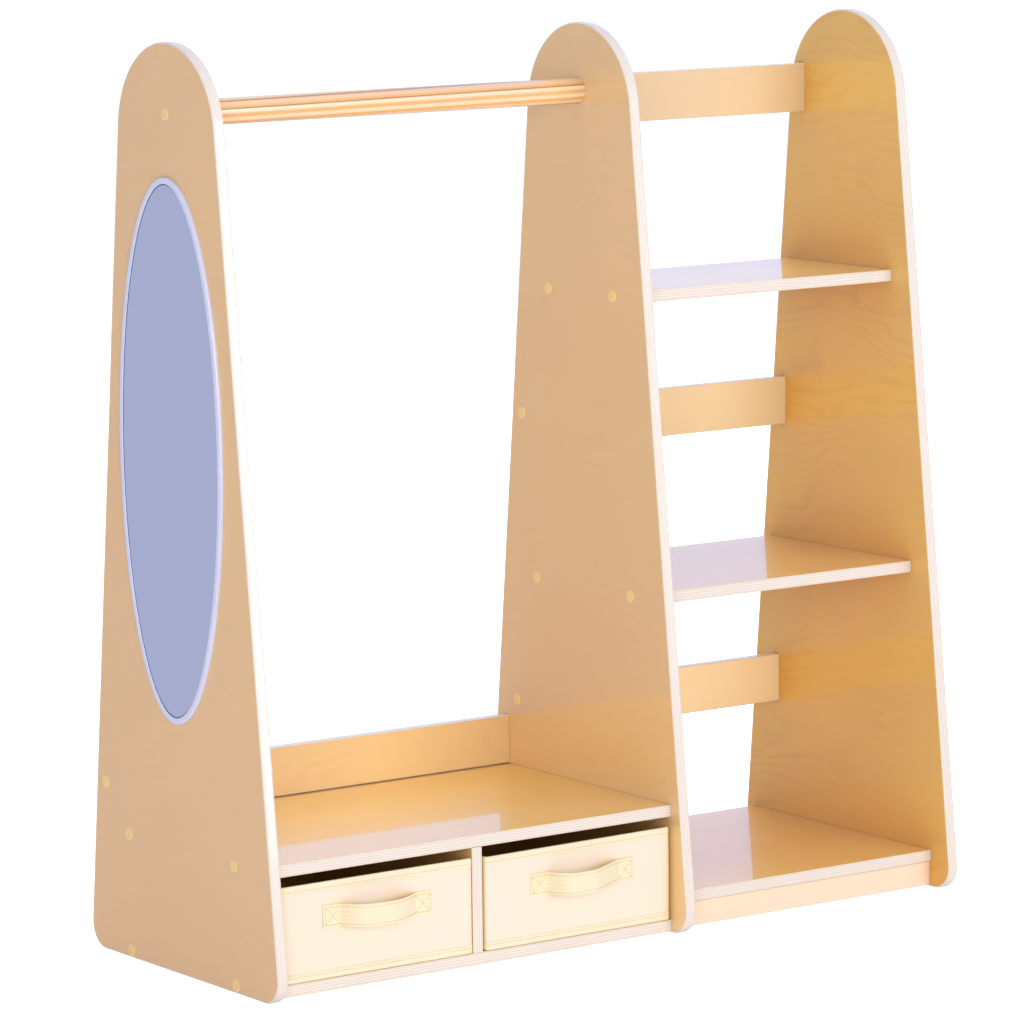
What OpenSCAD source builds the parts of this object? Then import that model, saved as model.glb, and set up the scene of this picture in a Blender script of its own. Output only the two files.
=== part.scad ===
// Children's dress-up storage unit.
// Three tapered plywood panels with round tops carry a hanging rod over a bench seat with two
// fabric bins under it, and three open shelves beside it. An oval mirror is on the left panel.
// X runs from the mirror side to the shelf side, the front faces -Y and the floor is Z = 0.

/* [Panels and boards] */
// Height of the three upright panels
unit_h = 1130; // [960:5:1360]
// Depth of a panel at the floor
panel_d = 434; // [400:2:540]
// Radius of a panel's round top
panel_top_r = 110; // [80:1:132]
// Radius of a panel's bottom corners
panel_foot_r = 30; // [10:1:40]
// Thickness of every board, panel and rail
board_t = 15; // [12.5:0.5:18]
// Radius worked along a panel's edges
panel_ease = 2.5; // [0.5:0.25:4]
// Flat worked along the edges of shelves and rails
board_ease = 1; // [0.5:0.25:2]
// Clear width between the mirror panel and the middle panel
left_bay_w = 590; // [480:5:720]
// Clear width between the middle panel and the right panel
right_bay_w = 410; // [320:5:500]
// Distance of the shelves' and rails' rear faces from the panels' rear edges
rear_setback = 16; // [0:1:30]

/* [Seat and bin cubbies] */
// Height of the top of the seat
seat_top = 163; // [140:1:200]
// Distance of the seat's front edge from the panels' front edges
seat_setback = 18.5; // [5:0.5:40]
// Gap between the floor and the boards that the panels keep off it
floor_gap = 2; // [1:0.5:10]
// Distance of the seat's and the bottom shelf's screws from those boards' front edges
seat_screw_inset = 62; // [30:1:90]
// Thickness of the board that closes the cubbies at the back
back_t = 5; // [3:0.5:9]
// Depth of the grooves that hold it
back_groove = 5; // [3:0.5:7]
// Distance of that board from the rear edge of the seat
back_inset = 9; // [6:1:40]

/* [Shelves] */
// Height of the top of the bottom shelf
bottom_shelf_top = 48.5; // [35:0.5:80]
// Rise from one shelf to the next
shelf_pitch = 375; // [300:5:390]
// Distance of the shelves' front edges from the panels' front edges
shelf_setback = 36; // [10:1:60]
// Distance of the middle shelf's screws from its edges
shelf_screw_inset = 37; // [20:1:45]
// Distance of the upper shelf's screws from its edges
upper_screw_inset = 30; // [20:1:45]
// Distance of the kickboard behind the bottom shelf's front edge
kick_setback = 2.5; // [0:0.5:30]

/* [Rails and rod] */
// Height of a back rail
rail_h = 63; // [45:1:80]
// Drop of the top rail's upper edge below the tops of the panels
top_rail_drop = 73; // [50:1:120]
// Height of the middle rail above the middle shelf, to its upper edge
middle_rail_rise = 216.5; // [120:0.5:260]
// Height of the lower rail above the bottom shelf, to its upper edge
lower_rail_rise = 215.5; // [120:0.5:260]
// Distance of the lower rail's rear face from the panels' rear edges
lower_rail_setback = 38; // [16:1:60]
// Shadow gap between the seat and the rail behind it
seat_rail_gap = 1; // [0.3:0.1:8]
// Distance of a rail's screw from its upper edge
rail_screw_drop = 14; // [10:1:25]
// Diameter of the hanging rod
rod_d = 32; // [25:1:35]
// Drop of the rod's axis below the tops of the panels
rod_drop = 85.5; // [60:0.5:120]

/* [Mirror] */
// Width of the oval mirror frame
mirror_w = 230; // [180:2:250]
// Height of the oval mirror frame
mirror_h = 660; // [500:5:700]
// Drop of the mirror frame below the top of its panel
mirror_drop = 160; // [120:5:240]
// Width of the frame's face
frame_face_w = 7.8; // [6:0.1:14]
// Height of the frame above the panel
frame_h = 4.2; // [4:0.1:9]
// Thickness of the mirror sheet
glass_t = 2; // [2:0.5:3]
// Thickness of the foam tape behind it
tape_t = 0.8; // [0.5:0.1:1]
// How far the frame's lip reaches over the mirror sheet
frame_lip = 4; // [2:0.5:5]

/* [Joining hardware] */
// Length of a joining screw, with its head
screw_l = 50; // [40:1:60]
// Diameter of a joining screw's shank
screw_d = 7; // [5:0.5:7]
// Diameter of a joining screw's head
screw_head_d = 10; // [8:0.5:12]
// Thickness of a joining screw's head
screw_head_t = 3; // [2:0.5:4]
// Depth of the head's top below the board's face
screw_sink = 1; // [0.5:0.1:2]
// Across flats of the hexagon socket in the head
socket_af = 5; // [4:0.5:6]
// Diameter of a cover cap
cap_d = 15.5; // [12:0.5:18]
// Height of a cover cap above the panel's face
cap_t = 1; // [0.6:0.1:1.5]
// Diameter of a wooden dowel pin
pin_d = 8; // [6:1:9]
// Length of a dowel pin in a panel joint
pin_l = 30; // [25:1:40]
// Depth to which a dowel pin enters a panel's or a board's face
pin_depth = 9.5; // [6:0.5:10]
// Radial clearance of screws and dowel pins in their holes
hole_clear = 0.1; // [0.05:0.05:0.2]

/* [Fabric bins] */
// Gap between a bin and the boards at either side of it
bin_side_gap = 2.75; // [2.75:0.25:12]
// Distance by which the left bin stands off the middle of its cubby, towards the divider
left_bin_shift = 2; // [0:0.25:2]
// Distance by which a bin's front stands out from the seat's front edge
bin_proud = 2; // [0:0.5:6]
// Gap between a bin's top and the seat above it
bin_top_gap = 12; // [6:1:30]
// Gap between a bin and the board behind it
bin_rear_gap = 6; // [2:1:60]
// Running gap under a bin
bin_rest_gap = 0.3; // [0.3:0.05:1]
// Thickness of a bin's covered wall
bin_wall = 4; // [3:0.5:6]
// Radius of a bin's upright corners
bin_corner_r = 5; // [5:1:20]
// Height of the folded hem round a bin's top
hem_h = 10.5; // [6:0.5:20]
// Height of the binding round a bin's bottom
binding_h = 10.5; // [6:0.5:20]
// Thickness by which the hem and the binding stand out from the wall
hem_t = 0.6; // [0.4:0.1:1.5]
// Thickness of the stiff board that lies in a bin
base_board_t = 3; // [2:0.5:5]

/* [Bin handles] */
// Length of a handle between the outer ends of its tabs
handle_l = 157; // [120:1:200]
// Width of the handle's webbing
webbing_w = 28; // [20:1:38]
// Thickness of the webbing
webbing_t = 2.4; // [1.5:0.1:3]
// Length of a handle's sewn tab
tab_l = 25; // [18:1:32]
// Height of the handle's centre line above the underside of its bin
handle_z = 76; // [60:1:80]
// The left bin's handle: [place along the front, height, turn, bow, end of rise, start of fall, fall]
left_handle = [1.5, -1.3, 1, 23, 0.5, 0.55, 2];
// The right bin's handle, in the same order
right_handle = [4.5, -2.5, -0.6, 28, 0.32, 0.5, 1.05];

/* [Hidden] */
$fn = 64;
eps = 0.01;

// Colours of the finishes
birch_face = "#DDB287";
birch_shelf = "#E2B273";
pine = "#F0CBA0";
cap_tan = "#ECC792";
mirror_blue = "#A7ADCF";
frame_lilac = "#DADCF2";
canvas = "#FCF0E1";
webbing = "#FCF8DC";

// Places across the width, from the outermost faces of the mirror frame and the end caps
unit_w = left_bay_w + right_bay_w + 3 * board_t;
left_x = -(unit_w + cap_t - frame_h) / 2;
left_in_x = left_x + board_t;
middle_x = left_in_x + left_bay_w;
middle_in_x = middle_x + board_t;
right_x = middle_in_x + right_bay_w;

// Outline of a panel: two tapered edges, each touching the round top and a foot corner
top_centre_z = unit_h - panel_top_r;
taper = atan(panel_d / 2 / top_centre_z) - asin(panel_top_r / norm([panel_d / 2, top_centre_z]));
foot_y = panel_d / 2 - panel_foot_r * (1 + sin(taper)) / cos(taper);
taper_end_z = top_centre_z + panel_top_r * sin(taper);

// Half of a panel's depth at height z
function half_depth(z) = z < taper_end_z
  ? panel_d / 2 - z * tan(taper)
  : sqrt(max(0, pow(panel_top_r, 2) - pow(z - top_centre_z, 2)));

// Front and rear edges of a level board whose middle is at height z
function board_front(z, setback) = setback - half_depth(z);
function board_rear(z) = half_depth(z) - rear_setback;

// Seat, the floor under the bins and what stands between them
seat_z = seat_top - board_t / 2;
seat_under = seat_top - board_t;
bin_floor_z = floor_gap + board_t / 2;
bin_floor_top = floor_gap + board_t;
seat_front = board_front(seat_z, seat_setback);
seat_rear = board_rear(seat_z);
back_y = seat_rear - back_inset - back_t;
fit_gap = 0.2;
divider_x = (left_in_x + middle_x - board_t) / 2;

// Shelves
middle_shelf_top = bottom_shelf_top + shelf_pitch;
upper_shelf_top = middle_shelf_top + shelf_pitch;
bottom_z = bottom_shelf_top - board_t / 2;
middle_z = middle_shelf_top - board_t / 2;
upper_z = upper_shelf_top - board_t / 2;
bottom_front = board_front(bottom_z, shelf_setback);
middle_front = board_front(middle_z, shelf_setback);
upper_front = board_front(upper_z, shelf_setback);

// Rails, each given by the height of its lower edge and its front face
seat_rail_z = seat_top + seat_rail_gap;
top_rail_z = unit_h - top_rail_drop - rail_h;
middle_rail_z = middle_shelf_top + middle_rail_rise - rail_h;
lower_rail_z = bottom_shelf_top + lower_rail_rise - rail_h;
function rail_front(z, setback) = half_depth(z + rail_h / 2) - setback - board_t;
seat_rail_y = rail_front(seat_rail_z, rear_setback);
top_rail_y = rail_front(top_rail_z, rear_setback);
middle_rail_y = rail_front(middle_rail_z, rear_setback);
lower_rail_y = rail_front(lower_rail_z, lower_rail_setback);
rod_z = unit_h - rod_drop;

// Joining screws and dowel pins, as [y, z] places on the panels
function board_screws(front, z, inset) = [[front + inset, z], [-front - inset, z]];
function rail_screw(y, z) = [y + board_t / 2, z + rail_h - rail_screw_drop];
function rail_pin(y, z) = [y + board_t / 2, z + rail_screw_drop];
seat_screws = board_screws(seat_front, seat_z, seat_screw_inset);
bin_floor_screws = board_screws(seat_front, bin_floor_z, seat_screw_inset);
bottom_screws = board_screws(bottom_front, bottom_z, seat_screw_inset);
middle_screws = board_screws(middle_front, middle_z, shelf_screw_inset);
upper_screws = board_screws(upper_front, upper_z, upper_screw_inset);
left_bay_fixings = concat(seat_screws, bin_floor_screws,
  [rail_screw(seat_rail_y, seat_rail_z), [0, rod_z]]);
right_bay_fixings = concat(bottom_screws, middle_screws, upper_screws,
  [for (r = [[top_rail_y, top_rail_z], [middle_rail_y, middle_rail_z], [lower_rail_y, lower_rail_z]])
    rail_screw(r[0], r[1])]);
left_bay_pin_places = [[0, seat_z], [0, bin_floor_z], rail_pin(seat_rail_y, seat_rail_z)];
right_bay_pin_places = concat([[0, bottom_z], [0, middle_z], [0, upper_z]],
  [for (r = [[top_rail_y, top_rail_z], [middle_rail_y, middle_rail_z], [lower_rail_y, lower_rail_z]])
    rail_pin(r[0], r[1])]);
hole_slack = 1;
pin_slack = 0.5;

// Short pins that stand in the divider and the kickboard
stub_pin_l = pin_depth + 14;
divider_fix_y = [seat_front + seat_screw_inset, -seat_front - seat_screw_inset];
kick_y = bottom_front + kick_setback;
kick_h = bottom_shelf_top - board_t - floor_gap;
kick_pin_count = 4;

// Bins
cubby_w = (left_bay_w - board_t) / 2;
bin_w = cubby_w - 2 * bin_side_gap;
bin_front = seat_front - bin_proud;
bin_d = back_y - bin_rear_gap - bin_front;
bin_h = seat_under - bin_top_gap - bin_floor_top - bin_rest_gap;
bin_z = bin_floor_top + bin_rest_gap;
bin_y = bin_front + bin_d / 2;
left_bin_x = left_in_x + cubby_w / 2 + left_bin_shift;
right_bin_x = middle_x - cubby_w / 2;

// Mirror: the sheet is an ellipse, and the frame follows it at a constant distance
frame_out = frame_face_w - frame_lip;
sheet_a = mirror_w / 2 - frame_out;
sheet_b = mirror_h / 2 - frame_out;
mirror_z = unit_h - mirror_drop - mirror_h / 2;
mirror_steps = 96;
rebate = tape_t + glass_t + fit_gap;

// ---- Panels ----------------------------------------------------------------------------------

// Flat outline of a panel, with y across and z up, drawn in by inset all round
module panel_outline(inset) {
  rim = panel_top_r - inset;
  foot = panel_foot_r - inset;
  polygon([[-foot_y, inset], [foot_y, inset],
    [foot_y + foot * cos(taper), panel_foot_r + foot * sin(taper)],
    [rim * cos(taper), top_centre_z + rim * sin(taper)],
    [-rim * cos(taper), top_centre_z + rim * sin(taper)],
    [-foot_y - foot * cos(taper), panel_foot_r + foot * sin(taper)]]);
  translate([0, top_centre_z]) circle(rim, $fn = 96);
  for (side = [-1, 1]) translate([side * foot_y, panel_foot_r]) circle(foot, $fn = 32);
}

// Upright panel whose left face is at x = 0, with its edges worked round
module panel_blank() {
  rotate([90, 0, 90]) hull() for (step = [[0, 1], [0.3, 0.3], [1, 0]])
    translate([0, 0, panel_ease * step[0]]) linear_extrude(board_t - 2 * panel_ease * step[0])
      panel_outline(panel_ease * step[1]);
}

// Clearance hole along +X with a counterbore for the head, from a face at x = 0
module screw_hole() {
  rotate([0, 90, 0]) {
    translate([0, 0, -eps]) cylinder(d = screw_d + 2 * hole_clear, h = board_t + 2 * eps);
    translate([0, 0, -eps])
      cylinder(d = screw_head_d + 4 * hole_clear, h = screw_sink + screw_head_t + fit_gap + eps);
  }
}

// Blind hole for a dowel pin, along +X from a face at x = 0
module pin_hole() {
  translate([-eps, 0, 0]) rotate([0, 90, 0])
    cylinder(d = pin_d + 2 * hole_clear, h = pin_depth + pin_slack + eps);
}

// Puts its children at each [y, z] place on a face
module at_places(places) {
  for (p = places) translate([0, p[0], p[1]]) children();
}

module left_panel() {
  color(birch_face) translate([left_x, 0, 0]) difference() {
    panel_blank();
    at_places(left_bay_fixings) screw_hole();
    translate([board_t, 0, 0]) mirror([1, 0, 0]) at_places(left_bay_pin_places) pin_hole();
  }
}

module middle_panel() {
  color(birch_face) translate([middle_x, 0, 0]) difference() {
    panel_blank();
    at_places(right_bay_fixings) screw_hole();
    at_places(left_bay_pin_places) pin_hole();
    translate([board_t, 0, 0]) mirror([1, 0, 0]) {
      at_places(left_bay_fixings) screw_hole();
      at_places(right_bay_pin_places) pin_hole();
    }
  }
}

module right_panel() {
  color(birch_face) translate([right_x, 0, 0]) difference() {
    panel_blank();
    translate([board_t, 0, 0]) mirror([1, 0, 0]) at_places(right_bay_fixings) screw_hole();
    at_places(right_bay_pin_places) pin_hole();
  }
}

// ---- Boards between the panels ------------------------------------------------------------------

// Diamond that eases a square edge when it is carried along it
module ease_section(size) {
  rotate(45) square(size * sqrt(2), center = true);
}

// Board from x = 0 to length, eased along its four long edges
module eased_board(length, depth, height) {
  rotate([90, 0, 90]) difference() {
    cube([depth, height, length]);
    for (y = [0, depth], z = [0, height]) translate([y, z, -eps])
      linear_extrude(length + 2 * eps) ease_section(board_ease);
  }
}

// Holes in both ends of a board of this length for the screws and dowel pins of its joints
module end_holes(length, screws, pins) {
  for (turned = [0, 1]) translate([turned * length, 0, 0]) mirror([turned, 0, 0]) {
    at_places(screws) translate([-eps, 0, 0]) rotate([0, 90, 0])
      cylinder(d = screw_d + 2 * hole_clear, h = screw_sink + screw_l - board_t + hole_slack + eps);
    at_places(pins) translate([-eps, 0, 0]) rotate([0, 90, 0])
      cylinder(d = pin_d + 2 * hole_clear, h = pin_l - pin_depth + pin_slack + eps);
  }
}

// Level board with its joints, from its front edge to its rear edge
module shelf_board(length, front, rear, top, screws, pins) {
  difference() {
    translate([0, front, top - board_t]) eased_board(length, rear - front, board_t);
    end_holes(length, screws, pins);
  }
}

// Back rail with its joints, from its front face and its lower edge
module rail(length, front, lower) {
  difference() {
    translate([0, front, lower]) eased_board(length, board_t, rail_h);
    end_holes(length, [rail_screw(front, lower)], [rail_pin(front, lower)]);
  }
}

// Groove for the board behind the bins, cut upwards from z = 0
module back_slot() {
  translate([-eps, back_y - fit_gap, -eps])
    cube([left_bay_w + 2 * eps, back_t + 2 * fit_gap, back_groove + eps]);
}

// Upright hole for a short pin, cut upwards from z = 0
module stub_hole(depth) {
  translate([0, 0, -eps]) cylinder(d = pin_d + 2 * hole_clear, h = depth + pin_slack + eps);
}

module seat() {
  color(birch_shelf) difference() {
    translate([left_in_x, 0, 0])
      shelf_board(left_bay_w, seat_front, seat_rear, seat_top, seat_screws, [[0, seat_z]]);
    translate([left_in_x, 0, seat_under]) back_slot();
    for (y = divider_fix_y) translate([divider_x + board_t / 2, y, seat_under]) stub_hole(pin_depth);
  }
}

module bin_floor() {
  color(birch_shelf) difference() {
    translate([left_in_x, 0, 0]) shelf_board(left_bay_w, seat_front, seat_rear, bin_floor_top,
      bin_floor_screws, [[0, bin_floor_z]]);
    translate([left_in_x, 0, bin_floor_top]) mirror([0, 0, 1]) back_slot();
    for (y = divider_fix_y) translate([divider_x + board_t / 2, y, floor_gap])
      rotate([0, -90, 0]) screw_hole();
  }
}

module bin_divider() {
  depth = back_y - fit_gap - seat_front;
  height = seat_under - bin_floor_top;
  color(birch_shelf) difference() {
    translate([divider_x, seat_front, bin_floor_top]) difference() {
      cube([board_t, depth, height]);
      for (x = [0, board_t]) translate([x, 0, -eps])
        linear_extrude(height + 2 * eps) ease_section(board_ease);
    }
    for (y = divider_fix_y) translate([divider_x + board_t / 2, y, 0]) {
      translate([0, 0, bin_floor_top - eps]) cylinder(d = screw_d + 2 * hole_clear,
        h = screw_sink + screw_l - board_t + hole_slack + eps);
      translate([0, 0, seat_under]) mirror([0, 0, 1]) stub_hole(stub_pin_l - pin_depth);
    }
  }
}

module cubby_back() {
  color(birch_shelf)
    translate([left_in_x + fit_gap, back_y, bin_floor_top - back_groove + fit_gap])
      cube([left_bay_w - 2 * fit_gap, back_t,
        seat_under - bin_floor_top + 2 * (back_groove - fit_gap)]);
}

module seat_rail() {
  color(birch_shelf) translate([left_in_x, 0, 0]) rail(left_bay_w, seat_rail_y, seat_rail_z);
}

// Places along the kickboard of the pins that join it to the bottom shelf
module at_kick_pins() {
  for (i = [0 : kick_pin_count - 1])
    translate([middle_in_x + right_bay_w * (i + 0.5) / kick_pin_count, kick_y + board_t / 2, 0])
      children();
}

module bottom_shelf() {
  color(birch_shelf) difference() {
    translate([middle_in_x, 0, 0]) shelf_board(right_bay_w, bottom_front, board_rear(bottom_z),
      bottom_shelf_top, bottom_screws, [[0, bottom_z]]);
    at_kick_pins() translate([0, 0, bottom_shelf_top - board_t]) stub_hole(pin_depth);
  }
}

module middle_shelf() {
  color(birch_shelf) translate([middle_in_x, 0, 0]) shelf_board(right_bay_w, middle_front,
    board_rear(middle_z), middle_shelf_top, middle_screws, [[0, middle_z]]);
}

module upper_shelf() {
  color(birch_shelf) translate([middle_in_x, 0, 0]) shelf_board(right_bay_w, upper_front,
    board_rear(upper_z), upper_shelf_top, upper_screws, [[0, upper_z]]);
}

module kickboard() {
  color(birch_shelf) difference() {
    translate([middle_in_x, kick_y, floor_gap]) eased_board(right_bay_w, board_t, kick_h);
    at_kick_pins() translate([0, 0, bottom_shelf_top - board_t]) mirror([0, 0, 1])
      stub_hole(stub_pin_l - pin_depth);
  }
}

module top_rail() {
  color(birch_shelf) translate([middle_in_x, 0, 0]) rail(right_bay_w, top_rail_y, top_rail_z);
}

module middle_rail() {
  color(birch_shelf) translate([middle_in_x, 0, 0]) rail(right_bay_w, middle_rail_y, middle_rail_z);
}

module lower_rail() {
  color(birch_shelf) translate([middle_in_x, 0, 0]) rail(right_bay_w, lower_rail_y, lower_rail_z);
}

module hanging_rod() {
  color(pine) translate([left_in_x, 0, 0]) difference() {
    translate([0, 0, rod_z]) rotate([0, 90, 0]) cylinder(d = rod_d, h = left_bay_w);
    end_holes(left_bay_w, [[0, rod_z]], []);
  }
}

// ---- Mirror --------------------------------------------------------------------------------------

// Point of the ellipse moved outwards along its normal by off
function oval(angle, off) =
  let (n = [cos(angle) / sheet_a, sin(angle) / sheet_b])
  [sheet_a * cos(angle), sheet_b * sin(angle)] + off * n / norm(n);

// The frame's moulded section carried once round the mirror. The section's points are
// [distance from the sheet's edge, height above the panel], with a lip over the sheet.
module frame_ring() {
  section = [
    [fit_gap, 0], [frame_out, 0], [frame_out, frame_h * 0.62], [frame_out - 0.5, frame_h * 0.84],
    [frame_out - 1.6, frame_h * 0.96], [frame_out - 3, frame_h], [1 - frame_lip, frame_h],
    [0.3 - frame_lip, frame_h * 0.95], [-frame_lip, frame_h * 0.86], [-frame_lip, rebate],
    [fit_gap, rebate]
  ];
  n = len(section);
  points = [for (i = [0 : mirror_steps - 1], s = section)
    let (p = oval(360 * i / mirror_steps, s[0])) [p[0], p[1], s[1]]];
  faces = [for (i = [0 : mirror_steps - 1], j = [0 : n - 1])
    let (a = i * n, b = (i + 1) % mirror_steps * n, k = (j + 1) % n)
    each [[a + j, a + k, b + k], [a + j, b + k, b + j]]];
  polyhedron(points, faces);
}

// Turns a shape drawn on the panel's face, with z off the face, onto the left panel
module on_left_panel() {
  translate([left_x, 0, mirror_z]) rotate([90, 0, -90]) children();
}

module mirror_frame() {
  color(frame_lilac) on_left_panel() frame_ring();
}

module mirror_sheet() {
  color(mirror_blue) on_left_panel() translate([0, 0, tape_t]) linear_extrude(glass_t)
    polygon([for (i = [0 : mirror_steps - 1]) oval(360 * i / mirror_steps, 0)]);
}

module mirror_tape() {
  strip = [sheet_a * 1.1, 20];
  color("white") on_left_panel() for (z = [-1, 0, 1])
    translate([-strip[0] / 2, z * sheet_b * 0.6 - strip[1] / 2, 0]) cube([strip[0], strip[1], tape_t]);
}

// ---- Joining hardware ------------------------------------------------------------------------------

// Joining screw along +X, with the top of its head at x = 0 and a hexagon socket in it
module joining_screw() {
  core = screw_d / 2;
  rotate([0, 90, 0]) difference() {
    rotate_extrude() polygon([[0, 0], [screw_head_d / 2 - 0.5, 0], [screw_head_d / 2, 0.5],
      [screw_head_d / 2, screw_head_t], [core, screw_head_t], [core, screw_l - core],
      [core * 0.35, screw_l], [0, screw_l]]);
    translate([0, 0, -eps]) cylinder(d = socket_af / cos(30), h = screw_head_t, $fn = 6);
  }
}

// Cover cap on a face at x = 0 that looks along -X, with its peg in the screw's socket
module cover_cap() {
  rim = cap_d / 2;
  peg = socket_af * 0.4;
  rotate([0, 90, 0]) rotate_extrude() polygon([[0, -cap_t], [rim - 1.4, -cap_t],
    [rim - 0.4, -cap_t * 0.7], [rim, -cap_t * 0.25], [rim, 0], [peg, 0],
    [peg, screw_sink + 1.6], [0, screw_sink + 1.6]]);
}

// Dowel pin along +X with eased ends, centred on the origin
module dowel_pin(length) {
  r = pin_d / 2;
  ease = 0.8;
  translate([-length / 2, 0, 0]) rotate([0, 90, 0]) rotate_extrude() polygon([[0, 0], [r - ease, 0],
    [r, ease], [r, length - ease], [r - ease, length], [0, length]]);
}

// Screws through both panels of a bay whose outer faces are at x = from and x = to
module bay_screws(from, to, places) {
  color("silver") {
    translate([from + screw_sink, 0, 0]) at_places(places) joining_screw();
    translate([to - screw_sink, 0, 0]) mirror([1, 0, 0]) at_places(places) joining_screw();
  }
}

// Dowel pins at both ends of the boards of a bay whose inner faces are at x = from and x = to
module bay_pins(from, to, places) {
  shift = pin_l / 2 - pin_depth;
  color(pine) {
    translate([from + shift, 0, 0]) at_places(places) dowel_pin(pin_l);
    translate([to - shift, 0, 0]) at_places(places) dowel_pin(pin_l);
  }
}

module left_bay_screws() {
  bay_screws(left_x, middle_in_x, left_bay_fixings);
}

module right_bay_screws() {
  bay_screws(middle_x, right_x + board_t, right_bay_fixings);
}

module divider_screws() {
  color("silver") for (y = divider_fix_y)
    translate([divider_x + board_t / 2, y, floor_gap + screw_sink]) rotate([0, -90, 0]) joining_screw();
}

module left_bay_pins() {
  bay_pins(left_in_x, middle_x, left_bay_pin_places);
}

module right_bay_pins() {
  bay_pins(middle_in_x, right_x, right_bay_pin_places);
}

// Short upright pin that enters the board above its seam to the usual depth
module stub_pin() {
  translate([0, 0, pin_depth - stub_pin_l / 2]) rotate([0, 90, 0]) dowel_pin(stub_pin_l);
}

module divider_pins() {
  color(pine) for (y = divider_fix_y)
    translate([divider_x + board_t / 2, y, seat_under]) stub_pin();
}

module kickboard_pins() {
  color(pine) at_kick_pins() translate([0, 0, bottom_shelf_top - board_t]) stub_pin();
}

module left_panel_caps() {
  color(cap_tan) translate([left_x, 0, 0]) at_places(left_bay_fixings) cover_cap();
}

module middle_panel_shelf_caps() {
  color(cap_tan) translate([middle_x, 0, 0]) at_places(right_bay_fixings) cover_cap();
}

module middle_panel_seat_caps() {
  color(cap_tan) translate([middle_in_x, 0, 0]) mirror([1, 0, 0])
    at_places(left_bay_fixings) cover_cap();
}

module right_panel_caps() {
  color(cap_tan) translate([right_x + board_t, 0, 0]) mirror([1, 0, 0])
    at_places(right_bay_fixings) cover_cap();
}

// ---- Fabric bins -------------------------------------------------------------------------------------

// Rectangle with round corners, centred on the origin
module round_plan(w, d, r) {
  square([w - 2 * r, d], center = true);
  square([w, d - 2 * r], center = true);
  for (x = [-1, 1], y = [-1, 1]) translate([x * (w / 2 - r), y * (d / 2 - r)]) circle(r);
}

// Open bin: one wall all round, a hem at the top, a binding at the bottom and a floor
module bin_cover() {
  w = bin_w - 2 * hem_t;
  d = bin_d - 2 * hem_t;
  color(canvas) difference() {
    union() {
      linear_extrude(bin_h) round_plan(w, d, bin_corner_r);
      linear_extrude(binding_h) round_plan(bin_w, bin_d, bin_corner_r + hem_t);
      translate([0, 0, bin_h - hem_h]) linear_extrude(hem_h)
        round_plan(bin_w, bin_d, bin_corner_r + hem_t);
    }
    translate([0, 0, bin_wall]) linear_extrude(bin_h)
      round_plan(w - 2 * bin_wall, d - 2 * bin_wall, bin_corner_r - bin_wall);
  }
}

// Stiff board that lies on the bin's floor
module bin_base() {
  gap = 1;
  w = bin_w - 2 * (hem_t + bin_wall + gap);
  d = bin_d - 2 * (hem_t + bin_wall + gap);
  color(canvas) translate([0, 0, bin_wall]) linear_extrude(base_board_t)
    round_plan(w, d, bin_corner_r - bin_wall);
}

// Distance of the webbing from the bin, from 0 to 1, at u along the free length of the handle.
// It rises to a, stays level to b and comes back to the bin, more steeply where fall is larger.
function bow(u, a, b, fall) =
  u < a ? 1 - pow(1 - u / a, 2.2) : u > b ? 1 - pow((u - b) / (1 - b), fall) : 1;

// Middle line of the handle's inner face in plan
function handle_line(out, a, b, fall) =
  let (free = handle_l - 2 * tab_l, steps = 28)
  concat([[-handle_l / 2, 0]],
    [for (i = [0 : steps]) let (u = i / steps) [free * (u - 0.5), -out * bow(u, a, b, fall)]],
    [[handle_l / 2, 0]]);

// The same line moved outwards by the webbing's thickness
function thickened(line) = [for (i = [0 : len(line) - 1])
  let (run = line[min(i + 1, len(line) - 1)] - line[max(i - 1, 0)], n = [run[1], -run[0]] / norm(run))
  i == 0 || i == len(line) - 1 ? line[i] - [0, webbing_t] : line[i] + webbing_t * n];

// Webbing handle with two tabs sewn to the bin's front at y = 0 and a bowed grip between them,
// given by its list: [place along the front, height, turn, bow, end of rise, start of fall, fall]
module bin_handle(handle) {
  line = handle_line(handle[3], handle[4], handle[5], handle[6]);
  outer = thickened(line);
  color(webbing) translate([handle[0], 0, handle_z + handle[1]]) rotate([0, handle[2], 0])
    translate([0, 0, -webbing_w / 2]) linear_extrude(webbing_w)
      polygon(concat(line, [for (i = [len(outer) - 1 : -1 : 0]) outer[i]]));
}

// Puts a bin's piece in the cubby whose middle is at x
module in_cubby(x) {
  translate([x, bin_y, bin_z]) children();
}

// Puts a handle on the front wall of the bin in the cubby whose middle is at x
module on_bin_front(x) {
  translate([x, bin_front + hem_t, bin_z]) children();
}

module left_bin_cover() {
  in_cubby(left_bin_x) bin_cover();
}

module left_bin_base() {
  in_cubby(left_bin_x) bin_base();
}

module left_bin_handle() {
  on_bin_front(left_bin_x) bin_handle(left_handle);
}

module right_bin_cover() {
  in_cubby(right_bin_x) bin_cover();
}

module right_bin_base() {
  in_cubby(right_bin_x) bin_base();
}

module right_bin_handle() {
  on_bin_front(right_bin_x) bin_handle(right_handle);
}

left_panel();
middle_panel();
right_panel();
seat();
bin_floor();
bin_divider();
cubby_back();
seat_rail();
bottom_shelf();
middle_shelf();
upper_shelf();
kickboard();
top_rail();
middle_rail();
lower_rail();
hanging_rod();
mirror_sheet();
mirror_frame();
mirror_tape();
left_bay_screws();
right_bay_screws();
divider_screws();
left_panel_caps();
middle_panel_shelf_caps();
middle_panel_seat_caps();
right_panel_caps();
left_bay_pins();
right_bay_pins();
divider_pins();
kickboard_pins();
left_bin_cover();
left_bin_base();
left_bin_handle();
right_bin_cover();
right_bin_base();
right_bin_handle();
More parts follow.
